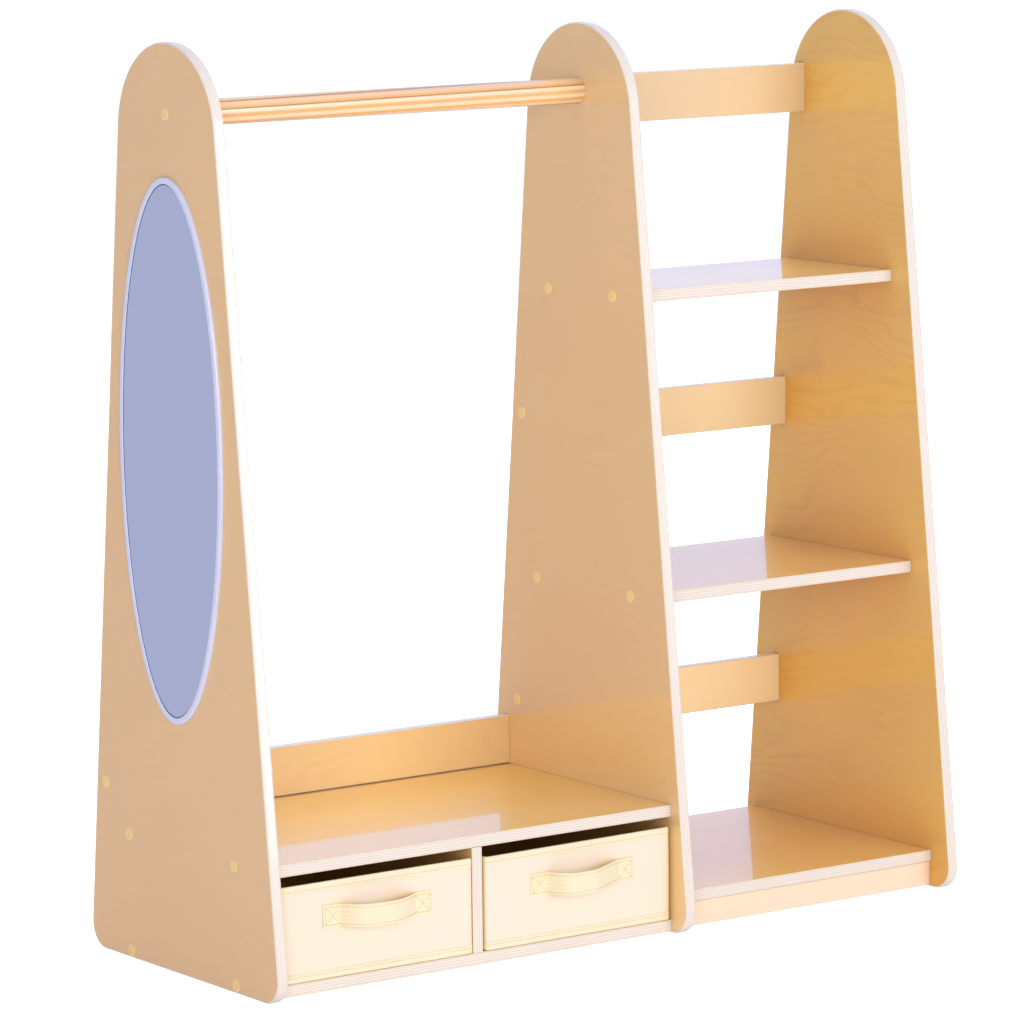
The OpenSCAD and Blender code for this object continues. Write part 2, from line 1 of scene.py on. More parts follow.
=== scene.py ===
"""Looks of a children's dress-up storage unit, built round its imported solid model.

The round-top panels, boards, rails, rod, mirror and hardware keep their solids and get procedural
finishes. The two fabric bins are modelled here: a canvas box with a hem, a binding, seams and
stitching, a covered base board and a webbing handle each.
"""
import logging
import math
from dataclasses import dataclass
from enum import Enum

import bmesh
import bpy
import numpy as np
from mathutils import Matrix, Vector


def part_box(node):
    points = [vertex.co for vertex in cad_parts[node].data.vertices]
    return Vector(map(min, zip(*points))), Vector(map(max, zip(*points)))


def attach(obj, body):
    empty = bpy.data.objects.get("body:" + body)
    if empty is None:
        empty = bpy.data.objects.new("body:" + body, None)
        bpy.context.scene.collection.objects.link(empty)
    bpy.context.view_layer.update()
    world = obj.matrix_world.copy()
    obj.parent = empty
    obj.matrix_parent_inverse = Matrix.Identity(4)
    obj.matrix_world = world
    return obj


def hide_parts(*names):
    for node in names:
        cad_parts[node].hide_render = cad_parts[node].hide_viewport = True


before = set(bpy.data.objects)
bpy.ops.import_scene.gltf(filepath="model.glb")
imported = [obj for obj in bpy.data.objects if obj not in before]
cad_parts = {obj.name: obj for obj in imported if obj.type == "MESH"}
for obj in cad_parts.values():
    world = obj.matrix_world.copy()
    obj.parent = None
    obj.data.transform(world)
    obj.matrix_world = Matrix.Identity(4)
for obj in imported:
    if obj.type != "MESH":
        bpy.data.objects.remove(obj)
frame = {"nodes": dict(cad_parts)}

LOG = logging.getLogger("dress_up_unit")
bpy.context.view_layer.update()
MM = 0.001
PICTURE_PX = 1024


# ---- Colours and shader nodes ---------------------------------------------------------------------

def linear(hex_colour: str) -> tuple[float, float, float, float]:
    """Turns an sRGB colour into linear light.

    Args:
        hex_colour: The colour as "#RRGGBB".

    Returns:
        Red, green, blue and an alpha of 1, each from 0 to 1.
    """
    srgb = np.array([int(hex_colour[i:i + 2], 16) for i in (1, 3, 5)]) / 255
    rgb = np.where(srgb <= 0.04045, srgb / 12.92, ((srgb + 0.055) / 1.055) ** 2.4)
    return (*rgb.tolist(), 1.0)


def add_node(tree: bpy.types.NodeTree, kind: str, inputs: dict | None = None,
             **settings: object) -> bpy.types.Node:
    """Adds one node to a tree.

    Args:
        tree: The node tree.
        kind: The node's Blender type name.
        inputs: Its inputs by name or number, each a value or another node's output.
        settings: Its own properties.

    Returns:
        The new node.
    """
    node = tree.nodes.new(kind)
    for key, value in settings.items():
        setattr(node, key, value)
    for key, value in (inputs or {}).items():
        if isinstance(value, bpy.types.NodeSocket):
            tree.links.new(value, node.inputs[key])
        else:
            node.inputs[key].default_value = value
    return node


class Kind(Enum):
    """The nodes that the patterns are made of.

    Each has Blender's name for it, its inputs in the order in which they are given, the output that
    is used, and its settings.
    """

    PLACE = ("TexCoord", (), "Object", {})
    SURFACE = ("UVMap", (), 0, {"uv_map": "surface"})
    SPLIT = ("SeparateXYZ", (0,), slice(0, 3), {})
    JOIN = ("CombineXYZ", (0, 1, 2), 0, {})
    STRETCH = ("VectorMath", (0, 1), 0, {"operation": "MULTIPLY"})
    LENGTH = ("VectorMath", (0,), 1, {"operation": "LENGTH"})
    PLUS = ("Math", (0, 1), 0, {"operation": "ADD"})
    MINUS = ("Math", (0, 1), 0, {"operation": "SUBTRACT"})
    TIMES = ("Math", (0, 1), 0, {"operation": "MULTIPLY"})
    TIMES_PLUS = ("Math", (0, 1, 2), 0, {"operation": "MULTIPLY_ADD"})
    DIVIDED = ("Math", (0, 1), 0, {"operation": "DIVIDE"})
    REMAINDER = ("Math", (0, 1), 0, {"operation": "FLOORED_MODULO"})
    ZIGZAG = ("Math", (0, 1), 0, {"operation": "PINGPONG"})
    WHOLE = ("Math", (0,), 0, {"operation": "FLOOR"})
    AMOUNT = ("Math", (0,), 0, {"operation": "ABSOLUTE"})
    SINE = ("Math", (0,), 0, {"operation": "SINE"})
    SMOOTH = ("MapRange", ("Value", "From Min", "From Max", "To Min", "To Max"), 0,
              {"interpolation_type": "SMOOTHSTEP"})
    BLEND = ("Mix", (0, 6, 7), 2, {"data_type": "RGBA"})
    DULL = ("HueSaturation", ("Color", "Value"), 0, {})
    NOISE = ("TexNoise", ("Vector", "Scale", "Detail", "Roughness"), "Fac", {})
    OPEN = ("AmbientOcclusion", ("Distance",), "AO", {})
    BUMP = ("Bump", ("Height", "Distance", "Strength"), 0, {})


@dataclass(frozen=True)
class Skin:
    """A surface's gloss and its fine relief, which both follow one pattern from 0 to 1.

    Attributes:
        smoothest: Roughness where the pattern is 0.
        spread: How much rougher it is where the pattern is 1.
        depth: Depth of the relief, or 0 for none.
        strength: The share of that depth that shades the surface.
    """

    smoothest: float
    spread: float
    depth: float = 0.0
    strength: float = 0.0


class Graph:
    """One material's node tree, with a Principled shader."""

    def __init__(self, name: str, **shader: object) -> None:
        """Starts a material.

        Args:
            name: The material's name.
            shader: Principled inputs that are the same all over, with _ for a space.
        """
        self.material = bpy.data.materials.new(name)
        self.material.use_nodes = True
        self.tree = self.material.node_tree
        self.tree.nodes.clear()
        self.shader = add_node(self.tree, "ShaderNodeBsdfPrincipled",
                               {key.replace("_", " "): value for key, value in shader.items()})
        add_node(self.tree, "ShaderNodeOutputMaterial", {"Surface": self.shader.outputs[0]})

    def add(self, kind: Kind, *values: object, **settings: object) -> bpy.types.NodeSocket | list:
        """Adds one node of a pattern.

        Args:
            kind: Which node.
            values: Its inputs in its own order, each a number, vector, hex colour or output.
            settings: Settings besides the kind's own.

        Returns:
            The kind's output, or its outputs where it has several.
        """
        name, inputs, output, own = kind.value
        given = (linear(value) if isinstance(value, str) else value for value in values)
        node = add_node(self.tree, f"ShaderNode{name}", dict(zip(inputs, given)), **own, **settings)
        return node.outputs[output]

    def grain(self, place: bpy.types.NodeSocket, counts: tuple, detail: float = 2.0,
              roughness: float = 0.5) -> bpy.types.NodeSocket:
        """Adds smooth noise, which varies evenly round 0.5.

        Args:
            place: The point that it depends on.
            counts: How many features it has in one unit of each part of the point.
            detail: How many finer noises are added to it.
            roughness: How strong each of those is against the one before.

        Returns:
            The noise, from 0 to 1.
        """
        return self.add(Kind.NOISE, self.add(Kind.STRETCH, place, counts), 1.0, detail, roughness)

    def finished(self, colour: bpy.types.NodeSocket, pattern: bpy.types.NodeSocket, skin: Skin,
                 height: bpy.types.NodeSocket | None = None) -> bpy.types.Material:
        """Links the colour, the gloss and the relief to the shader.

        Args:
            colour: The base colour.
            pattern: The pattern of the gloss, from 0 to 1.
            skin: How much that changes the gloss, and the depth of the relief.
            height: The relief's own pattern from 0 to 1, where that is another.

        Returns:
            The material.
        """
        ends = {"Base Color": colour,
                "Roughness": self.add(Kind.TIMES_PLUS, pattern, skin.spread, skin.smoothest)}
        if skin.depth:
            relief = pattern if height is None else height
            ends["Normal"] = self.add(Kind.BUMP, relief, skin.depth, skin.strength)
        for name, output in ends.items():
            self.tree.links.new(output, self.shader.inputs[name])
        return self.material


# ---- Finishes ---------------------------------------------------------------------------------------

class Axis(Enum):
    """A direction of the object's frame."""

    X = 0
    Y = 1
    Z = 2


@dataclass(frozen=True)
class BirchPly:
    """Birch plywood, rotary cut, sanded and clear lacquered.

    To the eye it is a warm tan face with a faint wandering figure and fine fibres, cream edges with
    fine pinkish lines where the plies cross, and a glossy coat that mirrors white at a low angle.
    Its colour also holds painted shade: a darker, warmer tint in its corners beside other boards and
    a thin dark line in its joints, both drawn from how near other surfaces are.
    Fields that end in _range are the values of a noise or of the openness between which a mark comes
    in, fields that end in _share say how much of its colour it then has, and fields that end in
    _noise are how many finer noises a noise has and how strong each is.
    """

    face: str
    figure_share: float
    far_face: str = ""
    figure: str = "#A5693C"
    ply_light: str = "#E1D7CB"
    ply_cross: str = "#D2C0B5"
    # Painted shade: a thin dark line where a board meets another, and a darker, warmer tint in its
    # corners, both from the openness.
    painted_joint_shade: str = "#6B4A24"
    painted_shade: float = 0.0
    painted_shade_reach: float = 120 * MM
    painted_shade_range: tuple = (0.5, 0.95)
    painted_shade_tint: tuple = (0.89, 0.76, 0.45)
    joint_shade_reach: float = 2.5 * MM
    joint_shade_range: tuple = (0.5, 0.85)
    joint_shade_share: float = 0.3
    plies: int = 9
    ply_range: tuple = (0.1, 0.4)
    veneer: float = 0.35 * MM
    fibre_width: float = 1.0 * MM
    fibre_length: float = 60 * MM
    fibre_range: tuple = (0.45, 0.8)
    fibre_share: float = 0.9
    figure_width: float = 90 * MM
    figure_length: float = 260 * MM
    figure_noise: tuple = (4, 0.42)
    fibre_noise: tuple = (4, 0.6)
    ring_range: tuple = (0.0, 0.5)
    rings_in_noise: float = 20.0
    rings_a_metre: float = 90.0
    fades_a_metre: tuple = (7.0, 11.0, 1.0)
    fade_range: tuple = (0.4, 0.65)
    patches_a_metre: tuple = (3.0, 9.0, 1.0)
    patch_range: tuple = (0.3, 0.7)
    patch_share: float = 0.6
    speckle: float = 0.9 * MM
    speckle_range: tuple = (0.3, 0.8)
    speckle_share: float = 0.18
    skin: Skin = Skin(0.3, 0.1, 0.02 * MM, 0.35)

    def make(self, name: str, low: Vector, high: Vector, through: Axis, grain: Axis,
             seed: float) -> bpy.types.Material:
        """Builds the finish of one board.

        Args:
            name: The material's name.
            low: The board's lowest corner, in metres.
            high: Its highest corner.
            through: The axis through its thickness.
            grain: The axis along its face grain.
            seed: A number that makes its figure its own.

        Returns:
            The material.
        """
        graph = Graph(name, IOR=1.5, Coat_Weight=0.75, Coat_Roughness=0.05, Coat_IOR=1.5)
        parts = graph.add(Kind.SPLIT, graph.add(Kind.PLACE))
        across = next(a for a in Axis if a not in (through, grain))
        along, over, depth = (parts[a.value] for a in (grain, across, through))
        place = graph.add(Kind.JOIN, along, over, seed)
        thickness = high[through.value] - low[through.value]
        middle = (high[through.value] + low[through.value]) / 2
        off_middle = graph.add(Kind.MINUS, depth, middle)
        side = graph.add(Kind.SMOOTH, off_middle, -MM, MM)
        veneer = graph.add(Kind.BLEND, side, self.face, self.far_face or self.face)
        face = self.face_colour(graph, veneer, place, over)
        # Painted shade from the openness: near gives the thin dark line in the joints, wide the darker,
        # warmer tint in the corners.
        near, wide = (graph.add(Kind.OPEN, reach, samples=6)
                      for reach in (self.joint_shade_reach, self.painted_shade_reach))
        # Painted shade: the face turns darker and warmer in the corners beside other boards.
        painted_shade_share = graph.add(Kind.SMOOTH, wide, *self.painted_shade_range, self.painted_shade, 0.0)
        face = graph.add(Kind.BLEND, painted_shade_share, face, graph.add(Kind.STRETCH, face, self.painted_shade_tint))
        on_face = graph.add(Kind.SMOOTH, graph.add(Kind.AMOUNT, off_middle),
                            thickness / 2 - self.veneer, thickness / 2 - self.veneer / 2)
        edge = self.edge_colour(graph, off_middle, thickness, parts)
        # Painted shade: the thin dark line where the board meets another.
        joint_shade = graph.add(Kind.SMOOTH, near, *self.joint_shade_range, self.joint_shade_share, 0.0)
        board = graph.add(Kind.BLEND, on_face, edge, face)
        colour = graph.add(Kind.BLEND, joint_shade, board, self.painted_joint_shade)
        fibres = graph.grain(place, (1 / self.fibre_length, 1 / self.fibre_width, 1), 3)
        return graph.finished(colour, fibres, self.skin)

    def face_colour(self, graph: Graph, veneer: bpy.types.NodeSocket, place: bpy.types.NodeSocket,
                    over: bpy.types.NodeSocket) -> bpy.types.NodeSocket:
        """Draws the figure into the veneer: tone patches, contour lines of a slow field, and fibres.

        The lines are where a slow noise field plus a steady rise across the grain passes whole
        numbers, as growth rings do where a rotary cut runs through them.

        Args:
            graph: The board's material.
            veneer: The veneer's colour without its figure.
            place: The point along, across and through the grain.
            over: Its part across the grain.

        Returns:
            The face's colour.
        """
        field = graph.grain(place, (1 / self.figure_length, 1 / self.figure_width, 1), *self.figure_noise)
        steady = graph.add(Kind.TIMES, over, self.rings_a_metre)
        rise = graph.add(Kind.TIMES_PLUS, field, self.rings_in_noise, steady)
        ring = graph.add(Kind.SMOOTH, graph.add(Kind.ZIGZAG, rise, 1.0), *self.ring_range, 1.0, 0.0)
        fade = graph.add(Kind.SMOOTH, graph.grain(place, self.fades_a_metre), *self.fade_range)
        fibres = graph.grain(place, (1 / self.fibre_length, 1 / self.fibre_width, 1), *self.fibre_noise)
        patches = graph.grain(place, self.patches_a_metre)
        whole = self.figure_share
        for share in (graph.add(Kind.SMOOTH, patches, *self.patch_range, 0.0, self.patch_share * whole),
                      graph.add(Kind.TIMES, graph.add(Kind.TIMES, ring, fade), whole),
                      graph.add(Kind.SMOOTH, fibres, *self.fibre_range, 0.0, self.fibre_share * whole)):
            veneer = graph.add(Kind.BLEND, share, veneer, self.figure)
        return veneer

    def edge_colour(self, graph: Graph, off_middle: bpy.types.NodeSocket, thickness: float,
                    parts: list) -> bpy.types.NodeSocket:
        """Draws light plies with darker crossing plies between them, and fine speckles.

        Args:
            graph: The board's material.
            off_middle: The distance from the board's middle plane.
            thickness: Its thickness.
            parts: The point's X, Y and Z.

        Returns:
            The edge's colour.
        """
        count = graph.add(Kind.TIMES_PLUS, off_middle, self.plies / thickness, self.plies / 2 + 0.5)
        light = graph.add(Kind.SMOOTH, graph.add(Kind.ZIGZAG, count, 1.0), *self.ply_range)
        speckles = graph.grain(graph.add(Kind.JOIN, *parts), (1 / self.speckle,) * 3)
        share = graph.add(Kind.SMOOTH, speckles, *self.speckle_range, 0.0, self.speckle_share)
        return graph.add(Kind.BLEND, share, graph.add(Kind.BLEND, light, self.ply_cross, self.ply_light),
                         self.ply_cross)


@dataclass(frozen=True)
class LaminatedRod:
    """A rod turned from laminated birch and lacquered.

    To the eye it has cream, peach and orange bands along it, with thin dark glue lines between some
    of them, and a soft white highlight. The bands lie at heights given as shares from its top; they
    drift a little along the rod, and fibres make their borders uneven.

    Attributes:
        drift: How far the bands rise in each metre of the rod.
        middle_share: The share at the rod's middle.
        span: How much the share changes over the rod's thickness.
        fibres_a_metre: How many fibres there are in a metre along X, Y and Z.
        wander: How far the fibres move a band's border.
    """

    cream: str = "#F0D0AC"
    peach: str = "#E8BF97"
    orange: str = "#E2AA66"
    glue: str = "#A87946"
    drift: float = -0.0095
    middle_share: float = 0.55
    span: float = 0.9
    fibres_a_metre: tuple = (6.0, 900.0, 900.0)
    wander: float = 0.03
    skin: Skin = Skin(0.28, 0.12, 0.02 * MM, 0.4)
    bands: tuple = (
        (0.0, "cream"), (0.045, "orange"), (0.068, "glue"), (0.084, "glue"), (0.105, "peach"),
        (0.2, "peach"), (0.25, "orange"), (0.295, "orange"), (0.314, "glue"), (0.334, "glue"),
        (0.362, "cream"), (0.43, "cream"), (0.47, "peach"), (0.51, "orange"), (0.59, "orange"),
        (0.625, "cream"), (0.72, "cream"), (0.75, "orange"), (0.81, "orange"), (0.845, "peach"),
        (0.9, "cream"), (0.94, "cream"), (0.965, "glue"), (1.0, "orange"))

    def make(self, name: str, low: Vector, high: Vector) -> bpy.types.Material:
        """Builds the rod's finish.

        Args:
            name: The material's name.
            low: The rod's lowest corner, in metres.
            high: Its highest corner.

        Returns:
            The material.
        """
        graph = Graph(name, IOR=1.5, Coat_Weight=0.7, Coat_Roughness=0.08)
        place = graph.add(Kind.PLACE)
        x, _, z = graph.add(Kind.SPLIT, place)
        drifted = graph.add(Kind.TIMES_PLUS, graph.add(Kind.MINUS, x, high.x), self.drift, z)
        slope = self.span / (high.z - low.z)
        start = self.middle_share + slope * (low.z + high.z) / 2
        share = graph.add(Kind.TIMES_PLUS, drifted, -slope, start)
        fibres = graph.grain(place, self.fibres_a_metre, 3)
        centred = graph.add(Kind.MINUS, share, self.wander / 2)
        uneven = graph.add(Kind.TIMES_PLUS, fibres, self.wander, centred)
        ramp = add_node(graph.tree, "ShaderNodeValToRGB", {0: uneven})
        elements = ramp.color_ramp.elements
        elements[1].position = self.bands[1][0]
        for number, (position, colour) in enumerate(self.bands):
            element = elements[number] if number < 2 else elements.new(position)
            element.color = linear(getattr(self, colour))
        return graph.finished(ramp.outputs[0], fibres, self.skin)


@dataclass(frozen=True)
class Moulding:
    """Moulded plastic or rubber with a fine spark-eroded skin, and other plain fine-grained surfaces.

    To the eye it is an even colour with a soft highlight, which a fine grit breaks up a little.

    Attributes:
        colour: Its colour.
        roughness: Its middle roughness.
        grit: Width of a grain of the skin.
        depth: Depth of the grit.
        ior: Its index of refraction.
        spread: How much the roughness changes over the grit.
        clouds_a_metre: How many slow changes of tone there are in a metre.
        dull: The share of the colour's brightness that its dull spots keep.
    """

    colour: str
    roughness: float
    grit: float = 0.7 * MM
    depth: float = 0.015 * MM
    ior: float = 1.49
    spread: float = 0.08
    clouds_a_metre: float = 18.0
    dull: float = 0.95

    def make(self, name: str) -> bpy.types.Material:
        """Builds the moulding's finish.

        Args:
            name: The material's name.

        Returns:
            The material.
        """
        graph = Graph(name, IOR=self.ior)
        place = graph.add(Kind.PLACE)
        grit = graph.grain(place, (1 / self.grit,) * 3)
        clouds = graph.grain(place, (self.clouds_a_metre,) * 3, 1)
        colour = graph.add(Kind.BLEND, clouds, self.colour, graph.add(Kind.DULL, self.colour, self.dull))
        skin = Skin(self.roughness - self.spread / 2, self.spread, self.depth, 0.5)
        return graph.finished(colour, grit, skin)


@dataclass(frozen=True)
class ZincPlate:
    """Zinc-plated steel with a drawn skin.

    To the eye it is a pale grey metal with faint streaks along X and a blurred highlight.
    """

    colour: str = "#B9BAB8"
    streak: float = 2 * MM
    streaks_a_metre: float = 30.0
    dull: float = 0.97
    skin: Skin = Skin(0.255, 0.09)

    def make(self, name: str) -> bpy.types.Material:
        """Builds the metal's finish.

        Args:
            name: The material's name.

        Returns:
            The material.
        """
        graph = Graph(name, Metallic=1.0)
        film = graph.grain(graph.add(Kind.PLACE), (1 / self.streak, *(self.streaks_a_metre,) * 2))
        colour = graph.add(Kind.BLEND, film, self.colour, graph.add(Kind.DULL, self.colour, self.dull))
        return graph.finished(colour, film, self.skin)


@dataclass(frozen=True)
class Mirror:
    """Silvered oval mirror with a painted dark line round its rim.

    To the eye it reflects the studio clearly, with a thin grey-blue line painted along its rim as the
    shade and reflection of the frame's inner edge.

    Attributes:
        silver: Its colour.
        rim: Colour of the painted shade line.
        covered: Width of the rim that the frame's lip covers.
        line: Width of the painted shade line.
        soft: Half the width over which the line fades out.
        film_a_metre: How many changes of its very slight haze there are in a metre along X, Y and Z.
        skin: Its gloss.
    """

    silver: str = "#EFEFF1"
    rim: str = "#7C829C"
    covered: float = 4.0 * MM
    line: float = 1.6 * MM
    soft: float = 0.5 * MM
    film_a_metre: tuple = (25.0, 30.0, 30.0)
    skin: Skin = Skin(0.02, 0.01)

    def make(self, name: str, low: Vector, high: Vector) -> bpy.types.Material:
        """Builds the mirror's finish.

        For an ellipse with half axes a and b, f = sqrt((y / a)^2 + (z / b)^2) is 1 on its rim, and
        (1 - f) f / sqrt((y / a^2)^2 + (z / b^2)^2) is close to the distance from it.

        Args:
            name: The material's name.
            low: The sheet's lowest corner, in metres.
            high: Its highest corner.

        Returns:
            The material.
        """
        graph = Graph(name, Metallic=1.0)
        place = graph.add(Kind.PLACE)
        middle, half = (low + high) / 2, (high - low) / 2
        parts = graph.add(Kind.SPLIT, place)
        y, z = (graph.add(Kind.MINUS, parts[k], middle[k]) for k in (1, 2))
        shares = (1 / half.y, 1 / half.z, 0)
        rim = graph.add(Kind.STRETCH, graph.add(Kind.JOIN, y, z), shares)
        f, steep = (graph.add(Kind.LENGTH, v) for v in (rim, graph.add(Kind.STRETCH, rim, shares)))
        product = graph.add(Kind.TIMES, graph.add(Kind.MINUS, 1.0, f), f)
        inward = graph.add(Kind.DIVIDED, product, steep)
        # Painted shade: a grey-blue line just inside the frame's lip, for the frame's shade and
        # reflection on the glass.
        edge = self.covered + self.line
        painted_rim_shade = graph.add(Kind.SMOOTH, inward, edge - self.soft, edge + self.soft, 1.0, 0.0)
        colour = graph.add(Kind.BLEND, painted_rim_shade, self.silver, self.rim)
        return graph.finished(colour, graph.grain(place, self.film_a_metre), self.skin)


@dataclass(frozen=True)
class Cloth:
    """Plain-woven cotton.

    To the eye it is a matt pale cloth of threads that pass over and under each other, drawn wide
    enough to show, a little uneven in tone, with painted warm shade in its folds and where other
    surfaces are near.

    Attributes:
        colour: Colour of the threads.
        shade: Colour between them.
        pitch: Distance from thread to thread, several times the real one so that it shows.
        relief: Height of a thread.
        sheen: How strongly its fuzz catches light from the side.
        rib: Distance from rib to rib along the cloth, or 0 for none.
        gap_share: How much of the shade there is between threads.
        gap_range: The height of a thread at which that begins and ends.
        rib_share: How much of it there is between ribs.
        slub_share: How much of it there is in the thickest slubs.
        slubs: How many slubs there are to a thread, along and across.
        painted_shade_reach: How near a surface must be to darken the cloth with painted shade.
        painted_shade_range: The openness at which that painted shade is strongest and where it ends.
        painted_shade_tint: What the cloth's colour is multiplied by where the painted shade is strongest.
        smoothest: Its lowest roughness.
    """

    colour: str
    shade: str
    pitch: float = 1.5 * MM
    relief: float = 0.12 * MM
    sheen: float = 0.15
    rib: float = 0.0
    gap_share: float = 0.55
    gap_range: tuple = (0.0, 0.9)
    rib_share: float = 0.25
    slub_share: float = 0.3
    slubs: tuple = (0.05, 0.6, 1.0)
    # Painted shade: the cloth darkens and warms where other surfaces are near.
    painted_shade_reach: float = 25 * MM
    painted_shade_range: tuple = (0.4, 0.97)
    painted_shade_tint: tuple = (1.0, 0.9, 0.56)
    smoothest: float = 0.8

    def make(self, name: str) -> bpy.types.Material:
        """Builds the cloth's finish from the piece's own surface lengths.

        A thread's height is the sine of its place across it, and which of the two threads is on
        top alternates in a chequer.

        Args:
            name: The material's name.

        Returns:
            The material.
        """
        graph = Graph(name, IOR=1.45, Sheen_Weight=self.sheen, Sheen_Roughness=0.5)
        across, along, _ = graph.add(Kind.SPLIT, graph.add(Kind.SURFACE))
        warp, weft = (graph.add(Kind.DIVIDED, part, self.pitch) for part in (across, along))
        over, under = (self.wave(graph, thread, math.pi) for thread in (warp, weft))
        cells = graph.add(Kind.PLUS, *(graph.add(Kind.WHOLE, thread) for thread in (warp, weft)))
        chequer = graph.add(Kind.REMAINDER, cells, 2.0)
        height = graph.add(Kind.PLUS, graph.add(Kind.TIMES, over, chequer),
                           graph.add(Kind.TIMES, under, graph.add(Kind.MINUS, 1.0, chequer)))
        slub = graph.grain(graph.add(Kind.JOIN, warp, weft), self.slubs, 3)
        shade = graph.add(Kind.SMOOTH, height, *self.gap_range, self.gap_share, 0.0)
        if self.rib:
            ribs = self.wave(graph, warp, math.pi * self.pitch / self.rib)
            shade = graph.add(Kind.TIMES_PLUS, ribs, -self.rib_share,
                              graph.add(Kind.PLUS, shade, self.rib_share))
        woven = graph.add(Kind.BLEND, graph.add(Kind.TIMES_PLUS, slub, self.slub_share, shade),
                          self.colour, self.shade)
        # Painted shade: darker and warmer where other surfaces are near, in folds and round the handle.
        openness = graph.add(Kind.OPEN, self.painted_shade_reach, samples=8)
        painted_shade_share = graph.add(Kind.SMOOTH, openness, *self.painted_shade_range, 1.0, 0.0)
        colour = graph.add(Kind.BLEND, painted_shade_share, woven, graph.add(Kind.STRETCH, woven, self.painted_shade_tint))
        return graph.finished(colour, slub, Skin(self.smoothest, 0.1, self.relief, 0.8), height)

    def wave(self, graph: Graph, place: bpy.types.NodeSocket, rate: float) -> bpy.types.NodeSocket:
        """Returns |sin(rate times place)|, one round thread or rib after another."""
        return graph.add(Kind.AMOUNT, graph.add(Kind.SINE, graph.add(Kind.TIMES, place, rate)))


# ---- Surfaces ---------------------------------------------------------------------------------------

LEVEL = 0.8  # a face whose normal's Z is above this takes its UV from X and Y
DOUBLE = 0.001 * MM  # points that are nearer than this are one
BESIDE_SEAM = np.array([0.3, 0.6, 1.0, 1.6]) * MM  # where points stand beside a seam
CORNER_POINTS, SIDE_POINTS = 5, 4  # the fewest that an outline has in a corner and on a side
DRAWN_IN = (1, 0.6, 0.25, 0.05)  # how far the rings of a floor are drawn in, from its middle outwards


def run_lengths(points: np.ndarray) -> np.ndarray:
    """Returns the length from the first point to each point of a line.

    Args:
        points: The line's points, one a row.

    Returns:
        The lengths, starting at 0.
    """
    steps = np.linalg.norm(np.diff(points, axis=0), axis=1)
    return np.concatenate([[0.0], np.cumsum(steps)])


def surface_piece(name: str, points: np.ndarray, across: np.ndarray,
                  along: np.ndarray) -> bpy.types.Object:
    """Makes a closed piece from one or more grids of points.

    Where a grid's last column repeats its first, or a row is one point, the doubles are merged,
    which closes the seam or the pole. The faces are then turned outwards.

    Args:
        name: The piece's name.
        points: Rows by columns by X, Y and Z, in metres, or several such grids.
        across: The length along the surface at each column.
        along: The length along the surface at each row.

    Returns:
        The object, at the origin. Its UV map is the two lengths, or X and Y where a face is level.
    """
    rows, columns = points.shape[-3:-1]
    flat = points.reshape(-1, 3)
    number = np.arange(len(flat)).reshape(-1, rows, columns)
    quads = np.stack([number[:, :-1, :-1], number[:, :-1, 1:],
                      number[:, 1:, 1:], number[:, 1:, :-1]], -1).reshape(-1, 4)
    lengths = np.stack(np.broadcast_arrays(across[None, :], along[:, None]), -1).reshape(-1, 2)
    mesh = bpy.data.meshes.new(name)
    mesh.from_pydata(flat.tolist(), [], quads.tolist())
    facing = np.empty(3 * len(quads), np.float32)
    mesh.polygons.foreach_get("normal", facing)
    level = np.abs(facing.reshape(-1, 3)[:, 2]) > LEVEL
    unrolled = np.where(level[:, None, None], flat[quads][:, :, :2], lengths[quads % (rows * columns)])
    layer = mesh.uv_layers.new(name="surface")
    layer.data.foreach_set("uv", unrolled.astype(np.float32).ravel())
    solid = bmesh.new()
    solid.from_mesh(mesh)
    bmesh.ops.remove_doubles(solid, verts=solid.verts, dist=DOUBLE)
    bmesh.ops.recalc_face_normals(solid, faces=solid.faces)
    solid.to_mesh(mesh)
    solid.free()
    mesh.polygons.foreach_set("use_smooth", np.ones(len(mesh.polygons), bool))
    mesh.update()
    piece = bpy.data.objects.new(name, mesh)
    bpy.context.scene.collection.objects.link(piece)
    return piece


def rounded_rectangle(width: float, depth: float, radius: float,
                      step: float) -> tuple[np.ndarray, np.ndarray]:
    """Walks once round a rectangle with round corners.

    Each corner is a quarter circle, and the straight runs between them are divided evenly, with
    extra points beside each corner, where a seam can lie.

    Args:
        width: Size along X.
        depth: Size along Y.
        radius: Corner radius.
        step: Largest distance between points.

    Returns:
        The points and their outward normals, from the rear left corner and back to it.
    """
    arc = np.linspace(0, math.pi / 2, max(CORNER_POINTS, round(radius * math.pi / 2 / step) + 1))
    points, normals = [], []
    for corner in (2, 3, 0, 1):
        angle = arc + (corner - 1) * math.pi / 2
        centre = np.array([width / 2 - radius, depth / 2 - radius])
        centre = centre * [(1, 1, -1, -1)[corner], (-1, 1, 1, -1)[corner]]
        normal = np.stack([np.cos(angle), np.sin(angle)], -1)
        points.append(centre + radius * normal)
        normals.append(normal)
        run = (depth, width)[corner % 2] - 2 * radius
        even = np.linspace(0, run, max(SIDE_POINTS, round(run / step) + 1))[1:-1]
        places = np.unique(np.concatenate([BESIDE_SEAM, even, run - BESIDE_SEAM]))
        places = places[(places > 0) & (places < run)]
        ahead = np.array([-normal[-1][1], normal[-1][0]])
        points.append(points[-1][-1] + places[:, None] * ahead)
        normals.append(np.repeat(normal[-1:], len(places), axis=0))
    ring, facing = np.concatenate(points), np.concatenate(normals)
    return np.vstack([ring, ring[:1]]), np.vstack([facing, facing[:1]])


